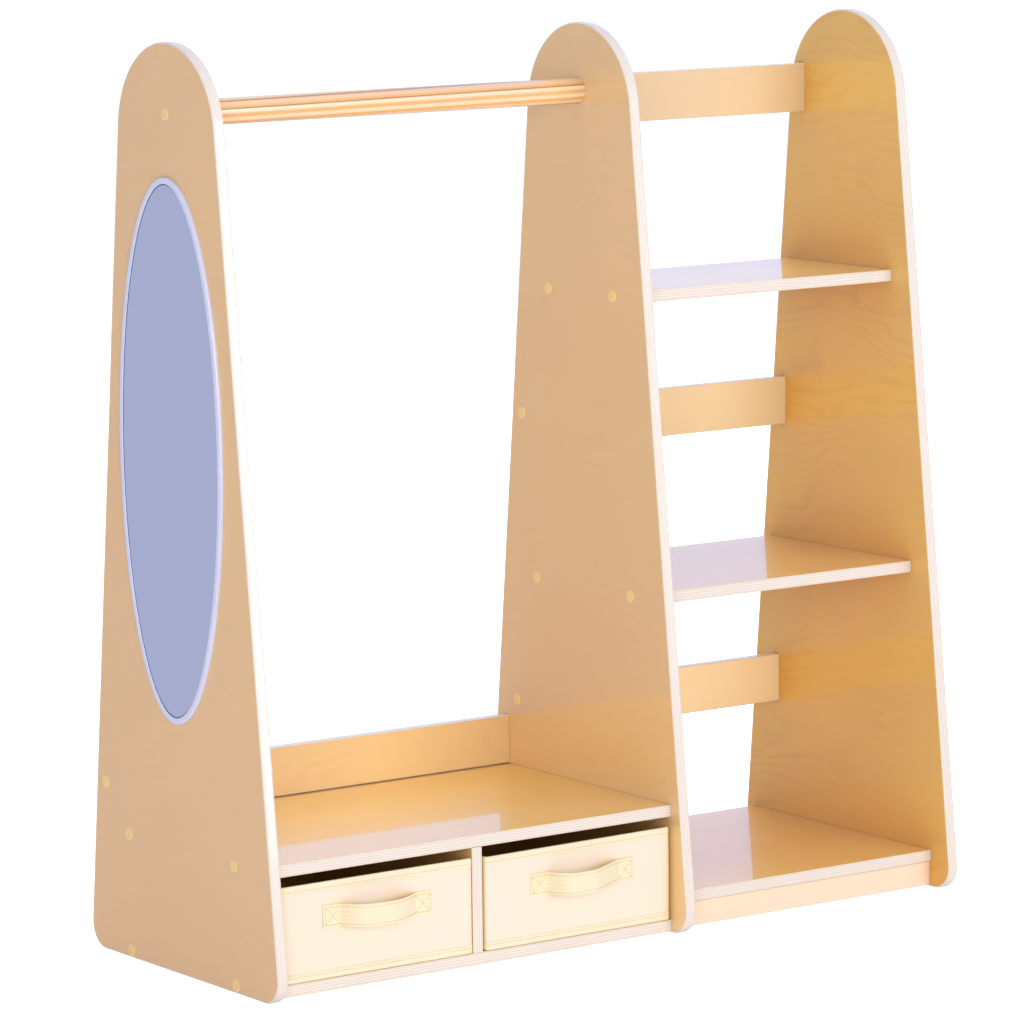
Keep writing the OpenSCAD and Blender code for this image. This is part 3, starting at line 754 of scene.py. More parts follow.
def strip_profile(path: np.ndarray, thickness: float) -> np.ndarray:
    """Gives a path a thickness and blunt round ends.

    The two sides are the path moved by half the thickness along its normal, and each end has one
    point half a thickness further on.

    Args:
        path: Points in a plane, one a row.
        thickness: The strip's thickness.

    Returns:
        A closed outline whose last point repeats its first.
    """
    run = np.gradient(path, axis=0)
    run = run / np.linalg.norm(run, axis=1, keepdims=True)
    normal = np.stack([-run[:, 1], run[:, 0]], -1) * thickness / 2
    start, end = path[:1] - run[:1] * thickness / 2, path[-1:] + run[-1:] * thickness / 2
    return np.vstack([start, path + normal, end, (path - normal)[::-1], start])


def read_off(line: np.ndarray, lengths: np.ndarray, at: np.ndarray) -> np.ndarray:
    """Returns a line's values, one column for each of its own, at given lengths along it."""
    return np.stack([np.interp(at, lengths, column) for column in line.T], -1)


@dataclass
class Thread:
    """Lines of stitches in one thread, gathered into one piece.

    Attributes:
        pitch: Distance from one stitch to the next.
        length: Length of a stitch.
        width: Width of the thread.
        height: How far a stitch stands out.
    """

    pitch: float = 3.6 * MM
    length: float = 1.9 * MM
    width: float = 1.3 * MM
    height: float = 0.5 * MM

    def __post_init__(self) -> None:
        """Starts with no stitches."""
        self.places: list[np.ndarray] = []
        self.frames: list[np.ndarray] = []

    def sew(self, line: np.ndarray, facing: np.ndarray) -> None:
        """Adds stitches along a line, evenly spaced and half a pitch in from its ends.

        Args:
            line: The line's points, on the cloth.
            facing: The cloth's outward direction at each point.
        """
        lengths = run_lengths(line)
        count = max(1, round(lengths[-1] / self.pitch))
        at = (np.arange(count) + 0.5) * lengths[-1] / count
        near = 0.1 * self.pitch
        run = read_off(line, lengths, at + near) - read_off(line, lengths, at - near)
        out = read_off(facing, lengths, at)
        run, out = (rows / np.linalg.norm(rows, axis=1, keepdims=True) for rows in (run, out))
        place = read_off(line, lengths, at)
        self.places.append(place)
        self.frames.append(np.stack([run, np.cross(out, run), out], -1))

    def build(self, name: str) -> bpy.types.Object:
        """Makes the stitches as one piece.

        A stitch is an ellipsoid, whose half axes are half its length, half the thread's width and
        its height: (a cos u cos v, b sin u cos v, c sin v), turned to its place on the line.

        Args:
            name: The piece's name.

        Returns:
            The object.
        """
        u, v = np.meshgrid(np.linspace(0, 2 * math.pi, 7), np.linspace(-math.pi / 2, math.pi / 2, 5))
        unit = np.stack([np.cos(u) * np.cos(v) * self.length / 2, np.sin(u) * np.cos(v) * self.width / 2,
                         np.sin(v) * self.height], -1)
        places, frames = np.concatenate(self.places), np.concatenate(self.frames)
        stitches = np.einsum("nij,rcj->nrci", frames, unit) + places[:, None, None, :]
        return surface_piece(name, stitches, u[0] * self.width / 2, v[:, 0] * self.length / 2)


# ---- Fabric bins ------------------------------------------------------------------------------------

@dataclass
class BinHandle:
    """Webbing handle: two tabs sewn flat to the bin's front and a bowed grip between them.

    Attributes:
        node: The solid handle that it stands for.
        rise: The share of the free length over which the grip rises from the first tab.
        fall: The share at which it starts back to the second tab.
        steep: How sharply it comes back, from 1.
        turn: How far it hangs down at its right end, in degrees.
        tab: Length of a tab.
        thickness: Thickness of the folded webbing.
        cup: How far the webbing's middle stands proud of its edges on the grip.
        seam_inset: Distance of its edge stitching from its edge.
        end_round: Length over which its ends thin down to the bin.
        leave: How sharply the grip leaves the first tab.
        samples: How many points its middle line has.
        mean: How many of them the running mean takes in.
        seam_start: How many points from each end the edge stitching starts.
        edge_radius: Radius of its section's corners.
        groove_depth: How deep the edge stitching draws it in.
        groove_width: Half the width of that groove.
        cross_inset: How far the crosses on the tabs lie inside the edge stitching.
        cross_end: Distance of the crosses from the webbing's end.
        cross_bend: Their distance from the bend.
    """

    node: str
    rise: float
    fall: float
    steep: float
    turn: float
    tab: float = 25 * MM
    thickness: float = 1.6 * MM
    cup: float = 0.7 * MM
    seam_inset: float = 3.2 * MM
    end_round: float = 2.5 * MM
    leave: float = 2.2
    samples: int = 161
    mean: int = 7
    seam_start: int = 3
    edge_radius: float = 0.75 * MM
    groove_depth: float = 0.3 * MM
    groove_width: float = 0.7 * MM
    cross_inset: float = 0.6 * MM
    cross_end: float = 3 * MM
    cross_bend: float = 1 * MM

    def __post_init__(self) -> None:
        """Takes its place and sizes from the solid handle.

        A strip of length l and width w turned by an angle t has a box of l cos t + w sin t by
        l sin t + w cos t, from which l and w follow.
        """
        low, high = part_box(self.node)
        angle = math.radians(abs(self.turn))
        wide, tall = high.x - low.x, high.z - low.z
        self.length = (wide * math.cos(angle) - tall * math.sin(angle)) / math.cos(2 * angle)
        self.half_width = (tall * math.cos(angle) - wide * math.sin(angle)) / math.cos(2 * angle) / 2
        self.centre = np.array([(low.x + high.x) / 2, 0.0, (low.z + high.z) / 2])
        self.wall = high.y
        self.bow = high.y - low.y - self.thickness

    def turned(self, vectors: np.ndarray) -> np.ndarray:
        """Turns vectors from the level handle's frame to the hanging one's, about Y."""
        c, s = math.cos(math.radians(self.turn)), math.sin(math.radians(self.turn))
        return vectors @ np.array([[c, 0, -s], [0, 1, 0], [s, 0, c]])

    def path(self) -> tuple[np.ndarray, np.ndarray]:
        """Finds the webbing's middle line in plan.

        The grip leaves the bin as 1 - (1 - u / rise) ** leave, stays level, and comes back as
        1 - ((u - fall) / (1 - fall)) ** steep, where u goes from 0 to 1 along the free length. The
        bends at the tabs are rounded by a running mean.

        Returns:
            The line's points, with X from the handle's middle and Y in the frame, and its normals.
        """
        free = self.length - 2 * self.tab
        u = np.linspace(-self.tab / free, 1 + self.tab / free, self.samples)
        up = 1 - np.clip(1 - u / self.rise, 0, 1) ** self.leave
        down = 1 - np.clip((u - self.fall) / (1 - self.fall), 0, 1) ** self.steep
        out = np.where((u < 0) | (u > 1), 0.0, np.minimum(up, down))
        smooth = np.convolve(np.pad(out, self.mean // 2, mode="edge"),
                             np.full(self.mean, 1 / self.mean), mode="valid")
        y = self.wall - self.thickness / 2 - self.bow * smooth
        line = np.stack([free * (u - 0.5), y], -1)
        run = np.gradient(line, axis=0)
        run = run / np.linalg.norm(run, axis=1, keepdims=True)
        return line, np.stack([run[:, 1], -run[:, 0]], -1)

    def build(self, name: str, thread: Thread) -> bpy.types.Object:
        """Makes the webbing and sews it on.

        Its section is a rounded rectangle with a shallow groove along each line of edge stitching,
        carried along the path, and cupped where it stands free of the bin.

        Args:
            name: The piece's name.
            thread: The thread that its stitches go into.

        Returns:
            The object.
        """
        line, normal = self.path()
        section, facing = rounded_rectangle(2 * self.half_width, self.thickness, self.edge_radius,
                                            2 * self.edge_radius)
        reach = np.abs(section[:, 0])
        off_seam = (reach - self.half_width + self.seam_inset) / self.groove_width
        thick = section[:, 1] - facing[:, 1] * self.groove_depth * np.exp(-off_seam ** 2)
        free = np.clip((self.wall - self.thickness / 2 - line[:, 1]) / self.bow, 0, 1)
        cup = self.cup * np.outer(free, 1 - (section[:, 0] / self.half_width) ** 2)
        near_end = np.minimum(run_lengths(line), run_lengths(line[::-1])[::-1]) / self.end_round
        taper = np.sqrt(1 - np.clip(1 - near_end, 0, 1) ** 2)
        out = np.where(thick < 0, -thick * taper[:, None], -thick[None, :]) + cup
        plan = line[:, None, :] + normal[:, None, :] * out[:, :, None]
        height = np.broadcast_to(section[:, 0], out.shape)
        points = self.centre + self.turned(np.concatenate([plan, height[:, :, None]], -1))
        ends = [np.broadcast_to(points[k].mean(0), points[k].shape)[None] for k in (0, -1)]
        points = np.concatenate([ends[0], points, ends[1]])
        along = run_lengths(line)
        along = np.concatenate([along[:1] - self.thickness, along, along[-1:] + self.thickness])
        piece = surface_piece(name, points, run_lengths(section), along)
        self.sew(thread, line, normal)
        return piece

    def sew(self, thread: Thread, line: np.ndarray, normal: np.ndarray) -> None:
        """Sews both edges along the whole webbing, and a box with a cross on each tab.

        Args:
            thread: The thread.
            line: The webbing's middle line in plan.
            normal: Its outward normals.
        """
        outward = self.turned(np.column_stack([normal, np.zeros(len(normal))]))
        face = line + normal * self.thickness / 2
        edge = self.half_width - self.seam_inset
        for side in (-1, 1):
            height = np.full(len(line), side * edge)
            seam = self.centre + self.turned(np.column_stack([face, height]))
            sewn = slice(self.seam_start, -self.seam_start)
            thread.sew(seam[sewn], outward[sewn])
        low, high, front = self.cross_inset - edge, edge - self.cross_inset, self.wall - self.thickness
        for side in (-1, 1):
            far = side * (self.length / 2 - self.cross_end)
            near = side * (self.length / 2 - self.tab + self.cross_bend)
            for route in (((far, low), (near, high)), ((near, low), (far, high)),
                          ((far, high), (far, low)), ((near, low), (near, high))):
                ends = np.array([[x, front, z] for x, z in route])
                thread.sew(self.centre + self.turned(ends), np.array([[0.0, -1.0, 0.0]] * 2))


@dataclass
class FabricBin:
    """Canvas bin: stiff walls with a folded hem, a binding round its foot, a base board and a handle.

    Attributes:
        body: The bin's name, which begins the names of its solids.
        handle: Its handle.
        canvas: Finish of the walls.
        tape: Finish of the hem and the binding.
        webbing: Finish of the handle.
        cotton: Finish of the stitches.
        inside: Finish of the lining and of the base board.
        seed: A number that makes its unevenness its own.
        sag: How far its rim hangs down at the front left corner.
        corner: Radius of its corners in plan.
        wall: Thickness of the walls and the floor.
        band: How far the walls stay inside the solid's box, for the hem and the binding.
        band_share: The share of that which those are thick.
        hem: Height of the hem.
        hem_turn: How far over the rim it goes, from its outside, as an angle.
        lining_thick: Thickness of the lining.
        lining_turn: Where on the rim the lining starts, as such an angle.
        overlap: How far a strip or the lining reaches under or past its neighbour.
        binding: Height of the binding.
        binding_under: How far the binding reaches under the floor.
        stitch_inset: Distance of a row of stitches from a strip's free edge.
        fold: Half the thickness of the rim.
        foot: Radius of the walls' edge at the foot.
        cove: Radius where the walls meet the floor inside.
        base_corner: Radius of the base board's corners in plan.
        base_round: Radius of its edges as a share of its thickness.
        tape_reach: How far the corner strips reach past the corners.
        seam_depth: Depth of the upright seams.
        seam_width: Half their width.
        pillow: How far the walls swell.
        held: The share of that on the inside and the lining, which the boards hold flatter.
        held_foot: The share of it round the foot.
        step: Largest distance between the points of its outline.
        pull: Half the height over which stitches draw a strip in.
        pucker: How far a strip rises between two stitches.
        settled: The share of that by which the stitches lie under the strip's middle.
        edge_reach: Half the height over which a strip's free edge wavers.
        waver: How far it wavers.
        waver_length: Length of one such wave.
        waver_drift: How quickly the waves shift along the strip, in radians a metre.
        stitch_lift: How far the stitches' middles lie over the strip.
    """

    body: str
    handle: BinHandle
    canvas: bpy.types.Material
    tape: bpy.types.Material
    webbing: bpy.types.Material
    cotton: bpy.types.Material
    inside: bpy.types.Material
    seed: float
    sag: float
    corner: float
    wall: float = 3.2 * MM
    band: float = 0.6 * MM
    band_share: float = 0.85
    hem: float = 10.5 * MM
    hem_turn: float = 0.6 * math.pi
    lining_thick: float = 0.8 * MM
    lining_turn: float = 0.55 * math.pi
    overlap: float = 1 * MM
    binding: float = 10.5 * MM
    binding_under: float = 4.5 * MM
    stitch_inset: float = 3.4 * MM
    fold: float = 1.6 * MM
    foot: float = 2.4 * MM
    cove: float = 0.6 * MM
    base_corner: float = 2.5 * MM
    base_round: float = 0.45
    tape_reach: float = 0.8 * MM
    seam_depth: float = 0.4 * MM
    seam_width: float = 0.6 * MM
    pillow: float = 0.45 * MM
    held: float = 0.6
    held_foot: float = 0.2
    step: float = 6 * MM
    pull: float = 1.6 * MM
    pucker: float = 0.16 * MM
    settled: float = 0.7
    edge_reach: float = 1.5 * MM
    waver: float = 0.18 * MM
    waver_length: float = 23 * MM
    waver_drift: float = 40.0
    stitch_lift: float = 0.02 * MM

    def __post_init__(self) -> None:
        """Takes its place and sizes from the solid bin."""
        low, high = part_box(f"{self.body}_cover")
        self.centre = np.array([(low.x + high.x) / 2, (low.y + high.y) / 2])
        self.floor = low.z
        self.height = high.z - low.z
        self.width = high.x - low.x - 2 * self.band
        self.depth = high.y - low.y - 2 * self.band

    def plan(self, step: float) -> tuple[np.ndarray, np.ndarray, np.ndarray]:
        """Returns the wall's outline, its outward normals and the length at each point."""
        outline, normal = rounded_rectangle(self.width, self.depth, self.corner, step)
        return outline, normal, run_lengths(outline)

    def rings(self, outline: np.ndarray, normal: np.ndarray, offset: np.ndarray, height: np.ndarray,
              shrink: np.ndarray | None = None) -> np.ndarray:
        """Carries a section round the bin.

        Each ring is the outline moved along its normals by an offset, then drawn in towards the
        bin's middle by a share.

        Args:
            outline: The wall's outline in plan.
            normal: Its outward normals.
            offset: Rows, or rows by columns, of offsets.
            height: Rows, or rows by columns, of heights above the bin's underside.
            shrink: Rows of shares, or None where no ring is drawn in.

        Returns:
            Rows by columns by X, Y and Z.
        """
        rows, columns = len(offset), len(outline)
        offset = np.broadcast_to(offset.reshape(rows, -1), (rows, columns))
        height = np.broadcast_to(height.reshape(rows, -1), (rows, columns))
        flat = outline[None] + normal[None] * offset[:, :, None]
        if shrink is not None:
            flat = flat * (1 - shrink)[:, None, None]
        corner = (0.5 - flat[:, :, 0] / self.width) * (0.5 - flat[:, :, 1] / self.depth)
        height = height - self.sag * corner * (height / self.height) ** 2
        return np.concatenate([flat + self.centre, (self.floor + height)[:, :, None]], -1)

    def uneven(self, lengths: np.ndarray, height: np.ndarray) -> np.ndarray:
        """Finds how far the walls stand out.

        It is a slow swell of three sines that run round and up the bin, with 5, 11 and 17 waves
        round it, and it dies out at the foot and the rim.

        Args:
            lengths: The length round the bin at each column.
            height: The height above its underside of each row.

        Returns:
            The swell, rows by columns.
        """
        turn = 2 * math.pi / lengths[-1]
        s, z = lengths[None, :] * turn, height[:, None] / self.height
        swell = (np.sin(5 * s + self.seed) * np.sin(math.pi * z)
                 + 0.6 * np.sin(11 * s + 2.1 * self.seed + 2 * z) + 0.4 * np.sin(17 * s - 3 * z))
        return self.pillow * 0.5 * swell * np.sin(math.pi * np.clip(z, 0, 1))

    def seams(self, outline: np.ndarray) -> np.ndarray:
        """Finds the depth of the upright seams, a narrow bell curve where each corner meets a side.

        Args:
            outline: The wall's outline in plan.

        Returns:
            The depth at each of its points.
        """
        sides = np.stack([self.width / 2 - self.corner - np.abs(outline[:, 0]),
                          self.depth / 2 - self.corner - np.abs(outline[:, 1])], -1)
        near = np.abs(sides).min(1)
        return self.seam_depth * np.exp(-(near / self.seam_width) ** 2)

    def cover(self) -> bpy.types.Object:
        """Makes the walls and floor as one shell, from the middle of its underside over the rim.

        Its section runs out along the underside, round the foot, up the wall, over the half-round
        rim, down inside, round the cove and back to the middle of the floor.

        Returns:
            The object.
        """
        outline, normal, lengths = self.plan(self.step)
        top = self.height - self.band
        turn = np.linspace(0, math.pi / 2, 6)
        foot, cove = self.foot, self.cove
        walls = np.linspace(self.band + foot, top - self.fold, 16)[1:-1]
        rim = np.linspace(0, math.pi, 9)
        well = self.wall + cove
        flat = len(DRAWN_IN)
        offset = np.concatenate([[-foot] * flat, foot * (np.sin(turn) - 1), 0 * walls,
                                 self.fold * (np.cos(rim) - 1), 0 * walls - self.wall,
                                 cove * np.cos(turn) - well, [-well] * flat])
        height = np.concatenate([[self.band] * flat, self.band + foot * (1 - np.cos(turn)), walls,
                                 top + self.fold * (np.sin(rim) - 1),
                                 np.linspace(walls[-1], well, len(walls)),
                                 well - cove * np.sin(turn), [self.wall] * flat])
        shrink = np.zeros(len(offset))
        shrink[:flat], shrink[-flat:] = DRAWN_IN, DRAWN_IN[::-1]
        rows = np.arange(len(offset))
        below = flat + len(turn)
        loose = (np.where(rows < below + len(walls), 1.0, self.held)
                 * np.where(rows < below, self.held_foot, 1.0))
        relief = self.uneven(lengths, height) - self.seams(outline)[None, :]
        relief = relief * (loose * (shrink == 0))[:, None]
        points = self.rings(outline, normal, offset[:, None] + relief, height, shrink)
        piece = surface_piece(f"{self.body}_canvas", points, lengths,
                              run_lengths(np.column_stack([offset - shrink * self.width / 2, height])))
        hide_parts(f"{self.body}_cover")
        return self.dress(piece, self.canvas, "canvas")

    def band_round(self, name: str, path: np.ndarray, row_of_stitches: float, thread: Thread,
                   edge: float) -> bpy.types.Object:
        """Makes a strip of cloth that goes round the bin, and sews it on.

        Its face rises between the stitches as |sin| of the length round the bin, so that it puckers,
        and its free edge wavers.

        Args:
            name: The piece's name.
            path: The section's middle line, as offsets and heights.
            row_of_stitches: The height of the stitches.
            thread: The thread.
            edge: The height of the strip's free edge.

        Returns:
            The object.
        """
        outline, normal, lengths = self.plan(thread.pitch / 3)
        section = strip_profile(path, self.band * self.band_share)
        near, free = (np.exp(-((section[:, 1] - middle) / reach) ** 2) * (section[:, 0] > 0)
                      for middle, reach in ((row_of_stitches, self.pull), (edge, self.edge_reach)))
        count = round(lengths[-1] / thread.pitch)
        pucker = self.pucker * (np.abs(np.sin(math.pi * count * lengths / lengths[-1])) - self.settled)
        waver = self.waver * np.sin(2 * math.pi * lengths / self.waver_length
                                    + self.seed * np.sin(lengths * self.waver_drift))
        offset = section[:, 0][:, None] + near[:, None] * pucker[None, :]
        height = section[:, 1][:, None] + free[:, None] * waver[None, :]
        points = self.rings(outline, normal, offset, height)
        piece = surface_piece(name, points, lengths, run_lengths(section))
        on_cloth = np.array([self.band + self.stitch_lift])
        seam = self.rings(outline, normal, on_cloth, np.array([row_of_stitches]))[0]
        thread.sew(seam, np.column_stack([normal, np.zeros(len(normal))]))
        return self.dress(piece, self.tape, "canvas")

    def lining(self) -> bpy.types.Object:
        """Makes the lining, which covers the walls inside from the top of the rim to the base board.

        Returns:
            The object.
        """
        outline, normal, lengths = self.plan(self.step)
        base_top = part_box(f"{self.body}_base")[1].z - self.floor
        middle = self.height - self.fold - self.band
        rim = np.linspace(self.lining_turn, math.pi, 6)
        height = np.linspace(middle, base_top + self.overlap, 14)[1:]
        over = np.column_stack([self.fold * (np.cos(rim) - 1), middle + self.fold * np.sin(rim)])
        path = np.vstack([over, np.column_stack([0 * height - 2 * self.fold, height])])
        section = strip_profile(path, self.lining_thick)
        relief = self.held * (self.uneven(lengths, section[:, 1]) - self.seams(outline)[None, :])
        points = self.rings(outline, normal, section[:, :1] + relief, section[:, 1])
        piece = surface_piece(f"{self.body}_lining", points, lengths, run_lengths(section))
        return self.dress(piece, self.inside, "canvas")

    def corner_tapes(self) -> bpy.types.Object:
        """Makes the upright strips that cover the four corners.

        Each is a thin strip's section carried over the outline's points near one corner, whose
        first and last columns sink into the wall.

        Returns:
            The object.
        """
        outline, normal, lengths = (part[:-1] for part in self.plan(self.step))
        reach = self.corner + self.tape_reach
        beside = np.all(np.array([self.width, self.depth]) / 2 - np.abs(outline) < reach, axis=1)
        start = int(np.argmin(beside))
        picked = np.flatnonzero(np.roll(beside, -start)) + start
        columns = np.split(picked % len(outline), np.flatnonzero(np.diff(picked) > 1) + 1)
        height = np.linspace(self.binding - self.overlap, self.height - self.hem + self.overlap, 12)
        section = strip_profile(np.column_stack([0 * height + self.band / 3, height]), self.band / 2)
        tapes = []
        for corner in columns:
            sunk = np.where(np.arange(len(corner)) % (len(corner) - 1) == 0, self.band, 0.0)
            offset = section[:, :1] + self.uneven(lengths, section[:, 1])[:, corner] - sunk
            tapes.append(self.rings(outline[corner], normal[corner], offset, section[:, 1]))
        piece = surface_piece(f"{self.body}_corner_tapes", np.stack(tapes), lengths[:len(columns[0])],
                              run_lengths(section))
        return self.dress(piece, self.canvas, "canvas")

    def hem_band(self, thread: Thread) -> bpy.types.Object:
        """Makes the hem, which folds over the rim: straight up outside, then an arc over it.

        Args:
            thread: The thread.

        Returns:
            The object.
        """
        rim = np.linspace(0, self.hem_turn, 8)
        half = self.band / 2
        radius = self.fold + half
        middle = self.height - self.fold - self.band
        outside = np.linspace(self.height - self.hem, middle, 6)[:-1]
        over = np.column_stack([radius * np.cos(rim) - self.fold, middle + radius * np.sin(rim)])
        path = np.vstack([np.column_stack([0 * outside + half, outside]), over])
        low = self.height - self.hem
        return self.band_round(f"{self.body}_hem", path, low + self.stitch_inset, thread, low)

    def foot_binding(self, thread: Thread) -> bpy.types.Object:
        """Makes the binding: level under the floor, a quarter circle round the foot, then upright.

        Args:
            thread: The thread.

        Returns:
            The object.
        """
        half = self.band / 2
        radius = self.foot + half
        turn = np.linspace(0, math.pi / 2, 7)
        under = np.linspace(-self.binding_under, -radius + half, 4)[:-1]
        upright = np.linspace(radius + half, self.binding, 6)[1:]
        bend = half + radius * np.column_stack([np.sin(turn) - 1, 1 - np.cos(turn)])
        path = np.vstack([np.column_stack([under, 0 * under + half]), bend,
                          np.column_stack([0 * upright + half, upright])])
        return self.band_round(f"{self.body}_binding", path, self.binding - self.stitch_inset, thread,
                               self.binding)

    def base(self) -> bpy.types.Object:
        """Makes the board on the bin's floor, a slab with round edges, covered like the walls inside.

        Returns:
            The object.
        """
        low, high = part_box(f"{self.body}_base")
        outline, normal = rounded_rectangle(high.x - low.x, high.y - low.y, self.base_corner, 8 * MM)
        thick = high.z - low.z
        radius = thick * self.base_round
        turn = np.linspace(-math.pi / 2, math.pi / 2, 9)
        flat = len(DRAWN_IN)
        offset = np.concatenate([[-radius] * flat, radius * (np.cos(turn) - 1), [-radius] * flat])
        height = np.concatenate([[0] * flat, thick / 2 * (1 + np.sin(turn)), [thick] * flat])
        shrink = np.concatenate([DRAWN_IN, 0 * turn, DRAWN_IN[::-1]])
        points = self.rings(outline, normal, offset, height + low.z - self.floor, shrink)
        piece = surface_piece(f"{self.body}_base_board", points, run_lengths(outline),
                              run_lengths(np.column_stack([offset - shrink * self.width / 2, height])))
        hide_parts(f"{self.body}_base")
        return self.dress(piece, self.inside, "canvas")

    def dress(self, piece: bpy.types.Object, material: bpy.types.Material,
              slot: str) -> bpy.types.Object:
        """Gives a piece its finish and lets it ride on the bin.

        Args:
            piece: The piece.
            material: Its finish.
            slot: Not used.

        Returns:
            The piece.
        """
        piece.data.materials.append(material)
        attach(piece, self.body)
        LOG.info("%s: %d faces", piece.name, len(piece.data.polygons))
        return piece

    def build(self) -> None:
        """Makes the whole bin."""
        thread = Thread()
        self.cover()
        self.lining()
        self.corner_tapes()
        self.hem_band(thread)
        self.foot_binding(thread)
        self.base()
        strap = self.handle.build(f"{self.body}_webbing", thread)
        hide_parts(self.handle.node)
        self.dress(strap, self.webbing, "webbing")
        self.dress(thread.build(f"{self.body}_stitching"), self.cotton, "webbing")


# ---- Wood, mirror and hardware ----------------------------------------------------------------------

@dataclass(frozen=True)
class Board:
    """One plywood board: its solid, the axes of its thickness and its face grain, and its veneer.

    The veneer's colour, which also carries painted light and shade for where the board stands, the
    strength of its figure, how much painted shade darkens and warms it near other boards, and the
    colour of its far face, on the side of the higher coordinate, where that is another.
    """

    name: str
    through: Axis
    grain: Axis
    face: str
    figure: float = 0.06
    painted_shade: float = 0.0
    far_face: str = ""


# Painted light and shade: all the boards are one birch ply, but each veneer colour was tuned one by one
# so that it also carries the light that falls on it here. The lower rails are lighter, the seat and
# shelves a brighter orange, and the right panel's inner face deeper and warmer than its outer face,
# partly its own tone and partly painted shade and warm bounced light.
PANEL, SHELF = "#EDC188", "#F3C468"
BOARDS = (
    Board("left_panel", Axis.X, Axis.Y, PANEL, 0.03),
    Board("middle_panel", Axis.X, Axis.Y, "#E8C28A", 0.03),
    Board("right_panel", Axis.X, Axis.Y, "#E7BA5E", 0.12, 1.0, PANEL),
    Board("bin_divider", Axis.X, Axis.Y, PANEL),
    *(Board(name, Axis.Z, Axis.X, SHELF)
      for name in ("seat", "bin_floor", "bottom_shelf", "middle_shelf", "upper_shelf")),
    Board("cubby_back", Axis.Y, Axis.X, SHELF),
    Board("seat_rail", Axis.Y, Axis.X, "#E6C389"),
    Board("kickboard", Axis.Y, Axis.X, "#F2D4B8"),
    Board("top_rail", Axis.Y, Axis.X, "#DEC198", 0.04, 0.45),
    Board("middle_rail", Axis.Y, Axis.X, "#E5D0A8", 0.04, 0.3),
    Board("lower_rail", Axis.Y, Axis.X, "#F6E1B8", 0.04, 0.3))
SEED_STEP = 3.7  # from one board's figure to the next


@dataclass
class Carcass:
    """The solid pieces: boards, rod, mirror and hardware, which only get their finishes here.

    Attributes:
        frame: The mirror's moulded frame, pale lilac with a soft gloss that shows its round section.
        cap: The caps over the screws, a shade yellower than the boards and a little duller.
        foam: The tape behind the mirror, off-white, matt and coarse.
        beech: The dowel pins, plain tan wood with a dry look.
    """

    frame: str = "#D9DCF4"
    cap: str = "#F6D690"
    foam: str = "#E6E6E2"
    beech: str = "#E3BC8C"

    def dress(self) -> None:
        """Gives every solid piece its finish."""
        for number, board in enumerate(BOARDS):
            veneer = BirchPly(face=board.face, far_face=board.far_face, figure_share=board.figure,
                              painted_shade=board.painted_shade)
            self.give(board.name, veneer.make(f"birch_ply_{board.name}", *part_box(board.name),
                                              board.through, board.grain, SEED_STEP * number))
        self.give("hanging_rod", LaminatedRod().make("laminated_birch_rod", *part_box("hanging_rod")))
        self.give("mirror_sheet", Mirror().make("silvered_mirror", *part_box("mirror_sheet")))
        self.give("mirror_frame", Moulding(self.frame, 0.25, ior=1.5).make("moulded_frame"))
        self.give("mirror_tape", Moulding(self.foam, 0.8, 1 * MM, 0.1 * MM).make("foam_tape"))
        kinds = {"_pins": Moulding(self.beech, 0.5, 1.2 * MM, 0.03 * MM, 1.5).make("turned_beech"),
                 "_caps": Moulding(self.cap, 0.4).make("moulded_cap"),
                 "_screws": ZincPlate().make("zinc_plated_steel")}
        for name in frame["nodes"]:
            for ending, material in kinds.items():
                if name.endswith(ending):
                    self.give(name, material)

    def give(self, name: str, material: bpy.types.Material) -> None:
        """Puts a finish into a solid piece's material slots.

        Args:
            name: The piece's node.
            material: The finish.
        """
        for slot in frame["nodes"][name].material_slots:
            slot.material = material
        LOG.info("%s: %s", name, material.name)


# ---- Studio -----------------------------------------------------------------------------------------

@dataclass(frozen=True)
class SoftLight:
    """One square soft light: its name, place, length of side, watts, and whether gloss shows it."""

    name: str
    place: tuple
    size: float
    power: float
    in_gloss: bool = True

    def build(self, target: Vector) -> None:
        """Makes the light.

        Args:
            target: The point that it faces.
        """
        lamp = bpy.data.lights.new(self.name, "AREA")
        lamp.shape = "SQUARE"
        lamp.size = self.size
        lamp.energy = self.power
        light = bpy.data.objects.new(self.name, lamp)
        light.location = self.place
        light.rotation_euler = (target - Vector(self.place)).to_track_quat("-Z", "Y").to_euler()
        light.visible_camera = False
        light.visible_glossy = self.in_gloss
        bpy.context.scene.collection.objects.link(light)


